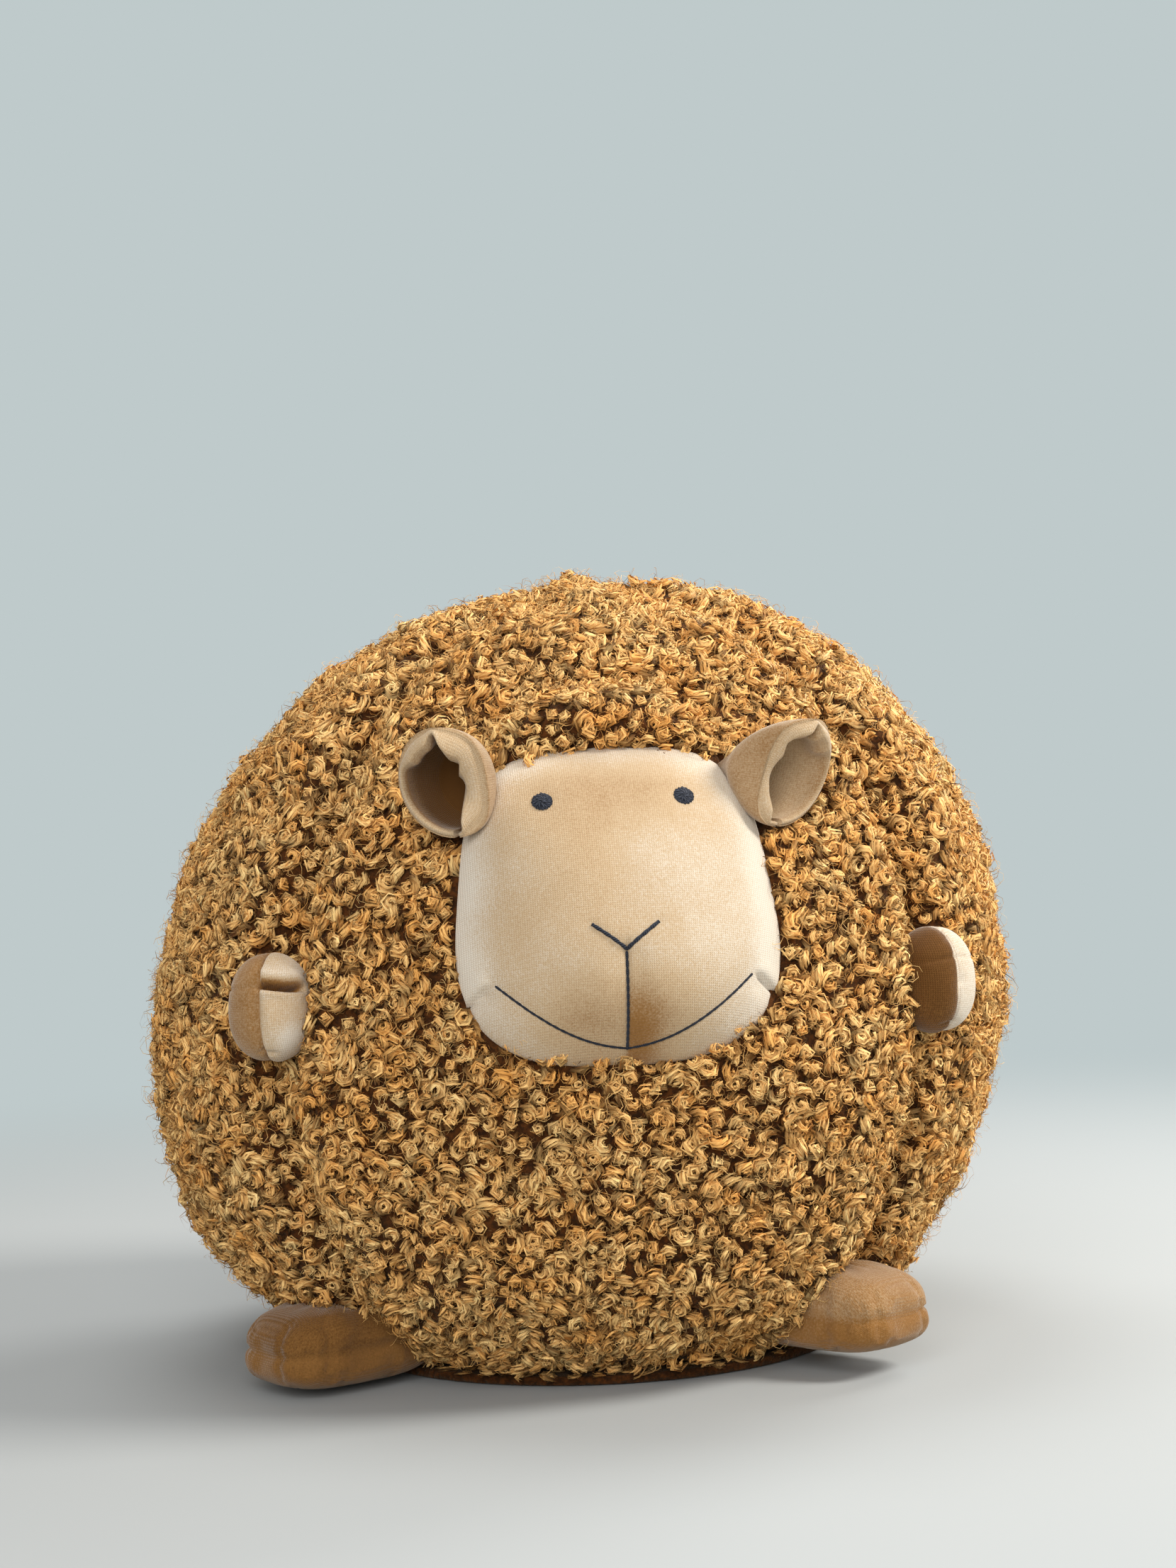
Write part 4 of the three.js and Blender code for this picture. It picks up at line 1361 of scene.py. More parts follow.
@dataclass
class Coat:
    """The curly coat: five gores, the base and the raised forehead."""

    wardrobe: Wardrobe
    ears: EarPair
    depth: float = 7.2 * MM
    cloth: float = 3.0 * MM
    cell: float = 4.0 * MM
    stuffing_gap: float = 1.0 * MM
    stuffing_floor: float = 9.0 * MM
    lock_floor: float = 9.0 * MM
    base_level: float = 3.6 * MM
    base_margin: float = 2.0 * MM
    side_margin: float = 1.0 * MM
    chin_margin: float = -2.5 * MM
    chin_start: float = 30.0 * MM
    chin_end: float = 50.0 * MM
    under_face: float = -6.0 * MM
    under_forehead: float = -5.0 * MM
    under_brow: float = -3.0 * MM
    brow_step: float = 1.0 * MM
    brow: float = 14 * MM
    ear_heights: tuple[float, ...] = (1 * MM, 4 * MM, 8 * MM)
    ear_dent: float = 7.5 * MM
    ear_dent_size: float = 24 * MM
    lump: float = 3.2 * MM
    lump_size: float = 26 * MM
    tuft: float = 2.0 * MM
    tuft_size: float = 9 * MM
    fold: float = 13.5 * MM
    fold_width: float = 7.5 * MM
    seam_gap: float = 1.5 * MM
    spacing: float = 4.5 * MM
    wisp_spacing: float = 7.5 * MM
    wisp_floor: float = 15 * MM
    density: float = 400000.0
    smallest: float = 0.78
    largest: float = 1.25
    lean: float = 0.8
    sink: float = 1.2 * MM

    def build(self) -> None:
        """Makes every panel."""
        self.locks = LockScatter("lock", LOCKS, self.wardrobe.pile)
        self.wisps = LockScatter("wisp", WISPS, self.wardrobe.pile)
        front, side, back = BALL.front_seam, BALL.side_seam, BALL.back_seam
        gores = (("front_panel", -front, front), ("left_side_panel", front, side),
                 ("right_side_panel", -side, -front), ("left_back_panel", side, back),
                 ("right_back_panel", -back, -side))
        for number, (node, start, end) in enumerate(gores):
            self._panel(node, *self._gore(start, end), seed=10 * number + 5, bands=4)
        self._panel("base_panel", *self._base(), seed=71, flatness=0.3, spread=1.8)
        self._panel("forehead_panel", *self._forehead(), seed=93)
        self._stuffing()

    def _lumps(self, points: np.ndarray) -> np.ndarray:
        """How far the coat bulges or sinks at each place, in upright folds and a dent round each ear.

        Args:
            points: places on the ball.

        Returns:
            One height for each place.
        """
        upright = points * np.array([1.0, 1.0, 0.6])
        coarse = drift(upright, self.lump_size, 3.7) + 0.5 * drift(upright, self.lump_size / 2, 9.1)
        lumps = self.lump * coarse + self.tuft * drift(points, self.tuft_size, 5.3)
        return mix(lumps, -self.ear_dent, self._by_ear(points))

    def _by_ear(self, points: np.ndarray) -> np.ndarray:
        """How near each place is to an ear, from 0 well away to 1 at the middle of its cup."""
        away = [np.linalg.norm(points - self.ears.middle(side), axis=-1) for side in Side]
        return bell(np.min(away, axis=0), self.ear_dent_size)

    def _skin(self, azimuth: np.ndarray, elevation: np.ndarray) -> np.ndarray:
        """Distance of the skin from the ball's centre, folded in along the seams.

        Args:
            azimuth: from the front towards +X.
            elevation: above the centre.

        Returns:
            One distance for each direction.
        """
        tips = BALL.surface(azimuth, elevation)
        lumps = self._lumps(BALL.place(azimuth, elevation, tips))
        return tips - self.depth + lumps - self.fold * BALL.along_seam(azimuth, elevation, self.fold_width)

    def _in_ear(self, points: np.ndarray) -> np.ndarray:
        """Whether a lock on each place of the skin would stand in an ear.

        Args:
            points: places on the skin.

        Returns:
            One answer for each place.
        """
        out = points - [0.0, 0.0, BALL.height]
        out = out / np.linalg.norm(out, axis=-1, keepdims=True)
        tries = [(height, flop) for height in self.ear_heights for flop in self.ears.flops]
        return np.any([self.ears.holds(points + out * height, flop) for height, flop in tries], axis=0)

    def _stuffing(self) -> None:
        """The fibre inside the coat, a closed form that follows the skin."""
        columns, rows = 120, 60
        azimuth = (360.0 * np.arange(columns) / columns)[None, :]
        elevation = np.linspace(BALL.foot_elevation + 2.0, 89.0, rows)[:, None]
        reach = self._skin(azimuth, elevation) - self.cloth - self.stuffing_gap
        points = BALL.place(azimuth, elevation, reach)
        points[..., 2] = np.maximum(points[..., 2], self.stuffing_floor)
        faces = closed_faces(rows, columns)
        piece = mesh_piece("body_stuffing", points.reshape(-1, 3), faces, self.wardrobe.stuffing)
        deliver(piece, "body", ["body_fill"])

    def _gore(self, start: float, end: float) -> tuple[np.ndarray, np.ndarray, np.ndarray]:
        """The skin of a gore between two seams, where locks grow on it and where it has cloth.

        Args:
            start: azimuth of its first seam.
            end: azimuth of its second seam.

        Returns:
            The grid of places, where locks grow and where there is cloth.
        """
        columns = round(BALL.radius * math.radians(end - start) / self.cell) + 1
        rows = round(BALL.radius * math.radians(90.0 - BALL.foot_elevation) / self.cell) + 1
        azimuth = np.linspace(start, end, columns)[None, :]
        elevation = np.linspace(BALL.foot_elevation + 1.0, 89.5, rows)[:, None]
        points = BALL.place(azimuth, elevation, self._skin(azimuth, elevation))
        across, up, out = FACE_DOME.plane(points)
        ahead = out > 0.0
        margin = mix(self.side_margin, self.chin_margin, smoothstep(-up, self.chin_start, self.chin_end))
        raised = FOREHEAD_DOME.inside(across, up, self.under_forehead)
        bare = ahead & (FACE_DOME.inside(across, up, margin) | raised)
        clothed = ~(ahead & (FACE_DOME.inside(across, up, self.under_face) | raised))
        grows = ~bare & ~self._in_ear(points) & (points[..., 2] > self.lock_floor)
        grows &= BALL.along_seam(azimuth, elevation, self.fold_width) < bell(self.seam_gap, self.fold_width)
        return points, grows, clothed

    def _base(self) -> tuple[np.ndarray, np.ndarray, np.ndarray]:
        """The skin of the flat base, which looks down, all of it with locks and cloth.

        Returns:
            The grid of places, where locks grow and where there is cloth.
        """
        columns = 64
        rows = round(BALL.base_radius / self.cell)
        turn = -math.tau * np.arange(columns + 1)[None, :] / columns
        reach = np.linspace(self.base_margin, BALL.base_radius - self.base_margin, rows)[:, None]
        level = np.full_like(reach * turn, self.base_level)
        points = np.stack([reach * np.cos(turn), reach * np.sin(turn), level], -1)
        whole = np.ones(points.shape[:-1], bool)
        return points, whole, whole

    def _forehead(self) -> tuple[np.ndarray, np.ndarray, np.ndarray]:
        """The skin of the raised pad above the face, where locks grow on it and where it has cloth.

        Returns:
            The grid of places, where locks grow and where there is cloth.
        """
        columns, rows = 72, 20
        angle = np.linspace(0.0, math.tau, columns + 1)[None, :]
        share = np.sin(np.linspace(0.02, 0.5, rows) * math.pi)[::-1, None]
        reach = FOREHEAD_DOME.edge(angle) * share
        across, up = reach * np.cos(angle), FOREHEAD_DOME.crown_up + reach * np.sin(angle)
        out = FOREHEAD_DOME.height(across, up) - self.depth
        around = np.arctan2(up - FACE_DOME.crown_up, across)
        above = np.hypot(across, up - FACE_DOME.crown_up) - FACE_DOME.edge(around)
        seam = FACE_DOME.height(across, up) - self.brow_step
        out = mix(np.minimum(seam, out), out, np.sqrt(np.clip(above / self.brow, 0.0, 1.0)))
        points = FOREHEAD_DOME.world(across, up, out)
        lumps = self._lumps(points) * np.maximum(smoothstep(above, 0.0, self.brow), self._by_ear(points))
        points = points + (points - [0.0, 0.0, BALL.height]) / BALL.radius * lumps[..., None]
        clothed = ~FACE_DOME.inside(across, up, self.under_brow)
        return points, clothed & ~self._in_ear(points), clothed

    def _panel(self, node: str, points: np.ndarray, grows: np.ndarray, clothed: np.ndarray, seed: int,
               flatness: float = 1.0, bands: int = 1, spread: float = 1.0) -> None:
        """Makes the cloth of a panel and the locks on it.

        Args:
            node: the solid that it stands for.
            points: its skin, row by row.
            grows: where locks grow.
            clothed: where it has cloth.
            seed: picks their pattern.
            flatness: how far they stand up, from 0 to 1.
            bands: level bands that the locks are made in.
            spread: how much further apart they stand than on the sides.
        """
        cuts = np.linspace(0, len(points) - 1, bands + 1).round().astype(int)
        for band, (low, high) in enumerate(zip(cuts[:-1], cuts[1:])):
            part, part_grows = points[low:high + 1], grows[low:high + 1]
            self._grow(self.locks, f"{node}_locks_{band + 1}", part, part_grows, self.spacing * spread,
                       seed + band, flatness)
        lofty = grows & (points[..., 2] > self.wisp_floor)
        if lofty.any():
            self._grow(self.wisps, f"{node}_wisps", points, lofty, self.wisp_spacing, seed, flatness)
        covered = clothed.reshape(-1)
        faces = [face for face in grid_faces(*points.shape[:2]) if covered[list(face)].any()]
        cloth = mesh_piece(f"{node}_cloth", points.reshape(-1, 3), faces, self.wardrobe.backing)
        thick = cloth.modifiers.new("thickness", "SOLIDIFY")
        thick.thickness = self.cloth
        thick.offset = -1.0
        grown(cloth)
        deliver(cloth, "body", [node])

    def _grow(self, scatter: LockScatter, name: str, points: np.ndarray, grows: np.ndarray, spacing: float,
              seed: int, flatness: float) -> None:
        """Makes the locks or wisps of one stretch of skin.

        Args:
            scatter: the tool that grows them.
            name: name of the piece.
            points: grid of places on the skin.
            grows: where they grow.
            spacing: least distance between two.
            seed: picks another spread.
            flatness: how far they stand up, from 0 to 1.
        """
        skin = mesh_piece(name, points.reshape(-1, 3), grid_faces(*points.shape[:2]))
        point_values(skin, "pile", grows.reshape(-1))
        scatter.over(skin, Spacing=spacing, Density=self.density, Seed=seed, Smallest=self.smallest,
                     Largest=self.largest, Lean=self.lean * flatness, Flatness=flatness,
                     Sink=self.sink * flatness)
        deliver(skin, "body")


# face


@dataclass
class Face:
    """The velvet face: a stuffed dome with a chin dart, two corner darts and its embroidery."""

    wardrobe: Wardrobe
    sides: int = 320
    rings: int = 64
    hem: float = 9 * MM
    hem_rings: tuple[tuple[float, float], ...] = ((0.55, 1.0), (0.96, 1.0), (0.995, 0.4))
    eye_across: float = 26 * MM
    eye_up: float = 38.5 * MM
    eye_size: float = 7.6 * MM
    eye_threads: int = 17
    nose_across: float = 12 * MM
    nose_top: float = -11.5 * MM
    nose_tip: float = -20.7 * MM
    mouth_across: float = 46.5 * MM
    mouth_end: float = -28 * MM
    mouth_low: float = -52 * MM
    chin_seam: Groove = Groove(1.5 * MM, 1.1 * MM)
    chin_valley: Groove = Groove(1.7 * MM, 7.0 * MM)
    mouth_line: Groove = Groove(0.4 * MM, 1.0 * MM)
    mouth_valley: Groove = Groove(0.7 * MM, 5.0 * MM)
    eye_dimple: Groove = Groove(0.8 * MM, 5.0 * MM)
    nose_line: Groove = Groove(0.35 * MM, 2.0 * MM)
    dart_crease: Groove = Groove(3.2 * MM, 0.9 * MM)
    dart_valley: Groove = Groove(2.2 * MM, 3.5 * MM)
    dart_swelling: Groove = Groove(1.6 * MM, 3.0 * MM)
    dart_weights: dict[Side, float] = by_side(1.0, 1.1)
    dart_slope: float = 30.0
    ray_start: float = 300 * MM

    def build(self) -> None:
        """Makes the face and then what is sewn on it."""
        piece = self._cover()
        self.tree = BVHTree.FromPolygons([v.co for v in piece.data.vertices],
                                         [tuple(f.vertices) for f in piece.data.polygons])
        deliver(piece, "body", ["face_panel", "face_fill"])
        self._embroider()

    def mouth_up(self, across: np.ndarray) -> np.ndarray:
        """Height of the mouth over a place across the face."""
        return mix(self.mouth_low, self.mouth_end, (across / self.mouth_across) ** 2)

    def _pinch(self, across: np.ndarray, up: np.ndarray) -> np.ndarray:
        """How far seams and stitches draw the cloth in.

        Args:
            across: places to the toy's left.
            up: places up the plane.

        Returns:
            One depth for each place.
        """
        below = smoothstep(-up, -self.nose_tip - 6.0 * MM, -self.nose_tip + 4.0 * MM)
        deep = below * (self.chin_seam.at(across) + self.chin_valley.at(across))
        gap = up - self.mouth_up(across)
        along = 1.0 - smoothstep(np.abs(across), self.mouth_across, self.mouth_across + 5.0 * MM)
        deep = deep + along * (self.mouth_line.at(gap) + self.mouth_valley.at(gap))
        for side in Side:
            sign = side.value
            deep = deep + self.eye_dimple.at(np.hypot(across - sign * self.eye_across, up - self.eye_up))
            share = np.clip(across * sign / self.nose_across, 0.0, 1.0)
            arm = np.hypot(across - sign * share * self.nose_across,
                           up - mix(self.nose_tip, self.nose_top, share))
            deep = deep + self.nose_line.at(arm)
            deep = deep + self.dart_weights[side] * self._dart(across * sign, up)
        return deep

    def _dart(self, across: np.ndarray, up: np.ndarray) -> np.ndarray:
        """How far the dart from a corner of the mouth to the rim draws the cloth in.

        Args:
            across: places to the toy's left.
            up: places up the plane.

        Returns:
            One depth for each place.
        """
        slope = math.radians(self.dart_slope)
        right, over = across - self.mouth_across - 1.0 * MM, up - self.mouth_end - 0.5 * MM
        along = right * math.cos(slope) - over * math.sin(slope)
        aside = right * math.sin(slope) + over * math.cos(slope)
        crease = self.dart_crease.at(aside) + self.dart_valley.at(aside + 1.8 * MM)
        swollen = self.dart_swelling.at(aside - 3.5 * MM)
        return smoothstep(along, -1.0 * MM, 4.0 * MM) * (crease - swollen)

    def _nap(self, across: np.ndarray, up: np.ndarray) -> np.ndarray:
        """Painted light and shade on the face: painted highlight pale at the sides and rim, painted shade
        darker on brow and chin and beside the seam.

        Args:
            across: places to the toy's left.
            up: places up the plane.

        Returns:
            One nap for each place.
        """
        angle = np.arctan2(up - FACE_DOME.crown_up, across)
        share = np.hypot(across, up - FACE_DOME.crown_up) / FACE_DOME.edge(angle)
        low = smoothstep(-up, 22.0 * MM, 52.0 * MM)
        rim = smoothstep(share, 0.72, 1.0) * (1.0 - 0.65 * low)
        nap = 0.52 + 0.4 * rim + 0.2 * smoothstep(across, -20.0 * MM, 45.0 * MM) - 0.1 * low
        nap = nap + 0.1 * smoothstep(-across, 5.0 * MM, 40.0 * MM)
        nap = nap - 0.22 * smoothstep(up, 10.0 * MM, 48.0 * MM)
        nap = nap - 0.06 * bell(np.hypot(across + 24.0 * MM, (up + 6.0 * MM) * 0.8), 20.0 * MM)
        chin = smoothstep(-up, -self.nose_tip, -self.nose_tip + 30.0 * MM)
        right = smoothstep(across, -0.6 * MM, 0.6 * MM)
        beside = 0.4 * right * bell(across - 3.0 * MM, 12.0 * MM)
        return nap - chin * (beside + 0.16 * bell(across, 30.0 * MM))

    def _cover(self) -> bpy.types.Object:
        """The closed cover: dome, turned-in hem and back.

        Returns:
            The piece.
        """
        angle = (math.tau * np.arange(self.sides) / self.sides)[None, :]
        share = np.sin(np.linspace(0.5, 0.008, self.rings) * math.pi)[:, None]
        reach = FACE_DOME.edge(angle) * share
        across, up = reach * np.cos(angle), FACE_DOME.crown_up + reach * np.sin(angle)
        out = FACE_DOME.height(across, up) - self._pinch(across, up)
        rings = [FACE_DOME.world(across[:1] * inset, mix(FACE_DOME.crown_up, up[:1], inset),
                                 out[:1] - depth * self.hem) for inset, depth in self.hem_rings]
        points = np.concatenate([*rings, FACE_DOME.world(across, up, out)]).reshape(-1, 3)
        faces = closed_faces(self.rings + len(rings), self.sides)
        piece = mesh_piece("face", points, faces, self.wardrobe.velvet)
        flat_across, flat_up, _ = FACE_DOME.plane(points)
        point_map(piece, "ClothUV", np.stack([flat_across, flat_up], -1) / CLOTH_TILE)
        point_values(piece, "nap", self._nap(flat_across, flat_up))
        return piece

    def onto(self, across: np.ndarray, up: np.ndarray, lift: float) -> np.ndarray:
        """Places on the cover over places of the plane.

        Args:
            across: across the face.
            up: up the face.
            lift: height above the cloth.

        Returns:
            One place for each pair.
        """
        start = FACE_DOME.world(across, up, self.ray_start)
        ahead = Vector(FACE_DOME.world(0.0, 0.0, 0.0) - FACE_DOME.world(0.0, 0.0, 1.0))
        found = [self.tree.ray_cast(Vector(p), ahead)[:2] for p in start]
        return np.array([tuple(place + normal * lift) for place, normal in found])

    def _embroider(self) -> None:
        """Sews the eyes, the nose, the centre line and the mouth."""
        sewing = StitchRow(self.wardrobe.thread)
        share = np.linspace(0.0, 1.0, 60)
        across = mix(-self.mouth_across, self.mouth_across, share)
        sewing.sew("mouth", ["mouth_stitch"], [self.onto(across, self.mouth_up(across), 0.1 * MM)],
                   3.2 * MM, 0.5 * MM)
        up = mix(self.nose_tip - 0.5 * MM, self.mouth_low, share)
        sewing.sew("centre_line", ["centre_stitch"], [self.onto(0.0 * up, up, 0.2 * MM)], 3.0 * MM, 0.62 * MM)
        up = mix(self.nose_tip, self.nose_top, share)
        arms = [self.onto(side.value * self.nose_across * share, up, 0.25 * MM) for side in Side]
        sewing.sew("nose", ["nose_stitch"], arms, 3.8 * MM, 0.76 * MM)
        for side in Side:
            self._eye(sewing, side)

    def _eye(self, sewing: StitchRow, side: Side) -> None:
        """One eye: threads laid across each other into a raised knot.

        Args:
            sewing: the tool that lays the threads.
            side: which eye.
        """
        lines = []
        normal = FACE_DOME.world(0.0, 0.0, 1.0) - FACE_DOME.world(0.0, 0.0, 0.0)
        for number in range(self.eye_threads):
            angle = math.pi * number * 5 / self.eye_threads + 0.3
            reach = np.linspace(-0.5, 0.5, 9) * self.eye_size * (1.0 - 0.04 * (number % 3))
            across = side.value * self.eye_across + reach * math.cos(angle)
            up = self.eye_up + reach * math.sin(angle)
            bow = (1.0 - (2.0 * reach / self.eye_size) ** 2) * (0.3 + 0.06 * number) * MM
            lines.append(self.onto(across, up, 0.0) + bow[:, None] * normal)
        sewing.sew(f"{side.word}_eye_knot", [f"{side.word}_eye"], lines, self.eye_size, 0.55 * MM)


class StitchRow(NodeTool):
    """The tree that turns sewn lines into stitches of thread."""

    waist = 0.62

    def __init__(self, finish: bpy.types.Material) -> None:
        """Builds the tree.

        Args:
            finish: what the thread is made of.
        """
        super().__init__("stitch_row", {"Length": "Float", "Radius": "Float", "Waist": "Float"})
        self._wire(finish)

    def _wire(self, finish: bpy.types.Material) -> None:
        """Lays out the nodes.

        Args:
            finish: material of the thread.
        """
        graph, ask = self.graph, self.ask
        line = graph.add("GeometryNodeMeshToCurve", None, Mesh=ask("Geometry"))
        fine = graph.add("GeometryNodeResampleCurve", {"mode": "LENGTH"}, Curve=line.outputs["Curve"],
                         Length=ask("Length") / 8.0)
        along = graph.add("GeometryNodeSplineParameter")
        beat = graph.wire(along, "Length") / ask("Length")
        swell = (beat.reckon("FRACT") * math.pi).reckon("SINE") ** 0.5
        waist = ask("Waist")
        radius = ask("Radius") * (waist + (1.0 - waist) * swell)
        sized = graph.add("GeometryNodeSetCurveRadius", None, Curve=fine.outputs["Curve"], Radius=radius)
        noted = graph.add("GeometryNodeStoreNamedAttribute", {"data_type": "FLOAT", "domain": "POINT"},
                          Geometry=sized.outputs["Curve"], Name="stitch_along", Value=beat)
        section = graph.add("GeometryNodeCurvePrimitiveCircle", {"mode": "RADIUS"}, Resolution=8, Radius=1.0)
        turn = graph.add("GeometryNodeSplineParameter")
        rim = graph.add("GeometryNodeStoreNamedAttribute", {"data_type": "FLOAT", "domain": "POINT"},
                        Geometry=section.outputs["Curve"], Name="stitch_around", Value=turn.outputs["Factor"])
        tube = graph.add("GeometryNodeCurveToMesh", None, Curve=noted.outputs["Geometry"],
                         Profile_Curve=rim.outputs["Geometry"], Fill_Caps=True,
                         Scale=graph.add("GeometryNodeInputRadius").outputs["Radius"])
        self.end(tube.outputs["Mesh"], finish)

    def sew(self, name: str, nodes: Sequence[str], lines: Sequence[np.ndarray], length: float,
            radius: float) -> None:
        """Sews lines of stitches as one piece.

        Args:
            name: name of the piece.
            nodes: the solids that it stands for.
            lines: places along each line.
            length: length of a stitch.
            radius: half the thread's thickness.
        """
        points = np.concatenate(lines)
        edges, start = [], 0
        for line in lines:
            edges += [(start + i, start + i + 1) for i in range(len(line) - 1)]
            start += len(line)
        mesh = bpy.data.meshes.new(name)
        mesh.from_pydata([tuple(p) for p in points], edges, [])
        piece = bpy.data.objects.new(name, mesh)
        bpy.context.scene.collection.objects.link(piece)
        self.run(piece, Length=length, Radius=radius, Waist=self.waist)
        self._map(piece)
        for face in piece.data.polygons:
            face.use_smooth = True
        deliver(piece, "body", nodes)

    @staticmethod
    def _map(piece: bpy.types.Object) -> None:
        """Writes the map along and around the thread.

        Args:
            piece: the sewn thread.
        """
        mesh = piece.data
        values = np.empty((2, len(mesh.vertices)), np.float32)
        for row, name in zip(values, ("stitch_along", "stitch_around")):
            mesh.attributes[name].data.foreach_get("value", row)
        point_map(piece, "LockUV", values.T)


# ears


@dataclass
class EarPair:
    """Two cupped ears of doubled velvet, with a seamed edge and a lining that rolls over into the cup."""

    wardrobe: Wardrobe
    yaws: dict[Side, float] = by_side(50.0, 28.0)
    droops: dict[Side, float] = by_side(6.0, 2.0)
    flaps: dict[Side, float] = by_side(4.0 * MM, 2.2 * MM)
    lobes: dict[Side, float] = by_side(0.66, 0.42)
    shadows: dict[Side, float] = by_side(-0.2, 1.3)
    flatter: dict[Side, float] = by_side(0.52, 0.3)
    far_lobe: float = 0.62
    far_roll: float = 0.86
    cleft: float = 0.26
    seam_at: float = 0.10
    seam_dip: float = 0.9 * MM
    edge_rise: float = 0.5 * MM
    roll_rise: float = 2.4 * MM
    lip_sag: float = 1.6 * MM
    lining_drop: float = 1.8 * MM
    lining_depth: float = 0.36
    top_length: float = 34 * MM
    slit_length: float = 20 * MM
    face_cut: float = 12 * MM
    half_width: float = 17.5 * MM
    half_height: float = 20.5 * MM
    root_radius: float = 6.2 * MM
    flare: float = 0.8
    slit: float = 3.0
    thick: float = 2.6 * MM
    spare: float = 2 * MM
    stem: float = 9 * MM
    flops: tuple[float, ...] = (0.0, 8.0, 15.0)
    cup_middle: float = 10 * MM
    columns: int = 121
    wall_rows: int = 16
    lip_rows: int = 18

    @staticmethod
    def root(side: Side) -> np.ndarray:
        """Where the ear is sewn on, which is its joint's place.

        Args:
            side: which ear.

        Returns:
            The place.
        """
        name = f"{side.word}_ear_flop"
        joint = next(j for j in frame["record"]["behaviour"]["joints"] if j["name"] == name)
        return np.array(joint["pos_m"])

    def middle(self, side: Side) -> np.ndarray:
        """A place inside the cup when the ear has flopped by about half its range."""
        return self.root(side) + self._axes(side, self.flops[1])[2] * self.cup_middle

    def build(self) -> None:
        """Makes both ears."""
        for side in Side:
            self._ear(side)

    def _axes(self, side: Side, flop: float = 0.0) -> np.ndarray:
        """The ear's own directions, one per row: across, to its top, and out along the cup.

        Args:
            side: which ear.
            flop: degrees that it has flopped.

        Returns:
            Three directions.
        """
        yaw, droop = math.radians(side.value * self.yaws[side]), math.radians(-self.droops[side] - flop)
        out = np.array([math.cos(droop) * math.sin(yaw), -math.cos(droop) * math.cos(yaw), math.sin(droop)])
        across = np.cross([0.0, 0.0, 1.0], out)
        across /= np.linalg.norm(across)
        return np.stack([across, np.cross(out, across), out])

    def holds(self, points: np.ndarray, flop: float) -> np.ndarray:
        """Whether places lie within the outer cloth of an ear that has flopped by some degrees.

        Args:
            points: places in the frame.
            flop: degrees that the ears have flopped.

        Returns:
            One answer for each place.
        """
        held = np.zeros(points.shape[:-1], bool)
        for side in Side:
            local = (points - self.root(side)) @ self._axes(side, flop).T
            turn = np.arctan2(-local[..., 0], local[..., 1])
            share = np.clip(local[..., 2] / self._length(side, turn), 0.0, 1.0)
            wall = np.linalg.norm(self._wall(side, turn, share, 0.0)[..., :2], axis=-1)
            near = np.hypot(local[..., 0], local[..., 1]) < wall + self.spare
            held |= near & (local[..., 2] > -self.root_radius) & (share < 1.0)
        return held

    def _length(self, side: Side, turn: np.ndarray) -> np.ndarray:
        """How far the rim stands from the root at each turn."""
        even = mix(self.slit_length, self.top_length, np.sqrt((1.0 + np.cos(turn)) / 2.0))
        return even - self.face_cut * np.maximum(0.0, np.sin(side.value * turn))

    def _wall(self, side: Side, turn: np.ndarray, share: np.ndarray, inset: float) -> np.ndarray:
        """Places of the cup's wall in the ear's own directions.

        Args:
            side: which ear.
            turn: radians from the top.
            share: from 0 at the root to 1 at the rim.
            inset: depth below the outer cloth.

        Returns:
            One place for each pair.
        """
        length = self._length(side, turn)
        swell = np.sin(share * math.pi / 2.0) ** self.flare
        straight = 1.0 - self.flatter[side] * swell * np.maximum(0.0, np.sin(side.value * turn)) ** 2
        wide = mix(self.root_radius, self.half_width, swell) * straight - inset
        tall = mix(self.root_radius, self.half_height, swell) - inset
        return np.stack([-wide * np.sin(turn), tall * np.cos(turn), length * share], -1)

    def _opening(self, side: Side, turn: np.ndarray, rim: np.ndarray) -> np.ndarray:
        """How far in the lining reaches, as a share of the way from the axis to the rim.

        Two lobes hang from the top with a cleft between them. The far side has a thin roll. The side
        towards the face is a flap whose free edge runs straight down.

        Args:
            side: which ear.
            turn: radians from the top.
            rim: the rim's places.

        Returns:
            One share for each turn.
        """
        angle = np.degrees(turn) * side.value
        lobes = mix(self.far_lobe, self.lobes[side], smoothstep(angle, -5.0, 25.0))
        lobes = lobes + self.cleft * bell(angle + 3.0, 8.0)
        flap = np.minimum(0.9, self.flaps[side] / np.maximum(0.5 * MM, np.abs(rim[:, 0])))
        share = mix(self.far_roll, lobes, smoothstep(angle, -76.0, -52.0))
        return np.where(angle > 0.0, mix(share, flap, smoothstep(angle, 40.0, 62.0)), share)

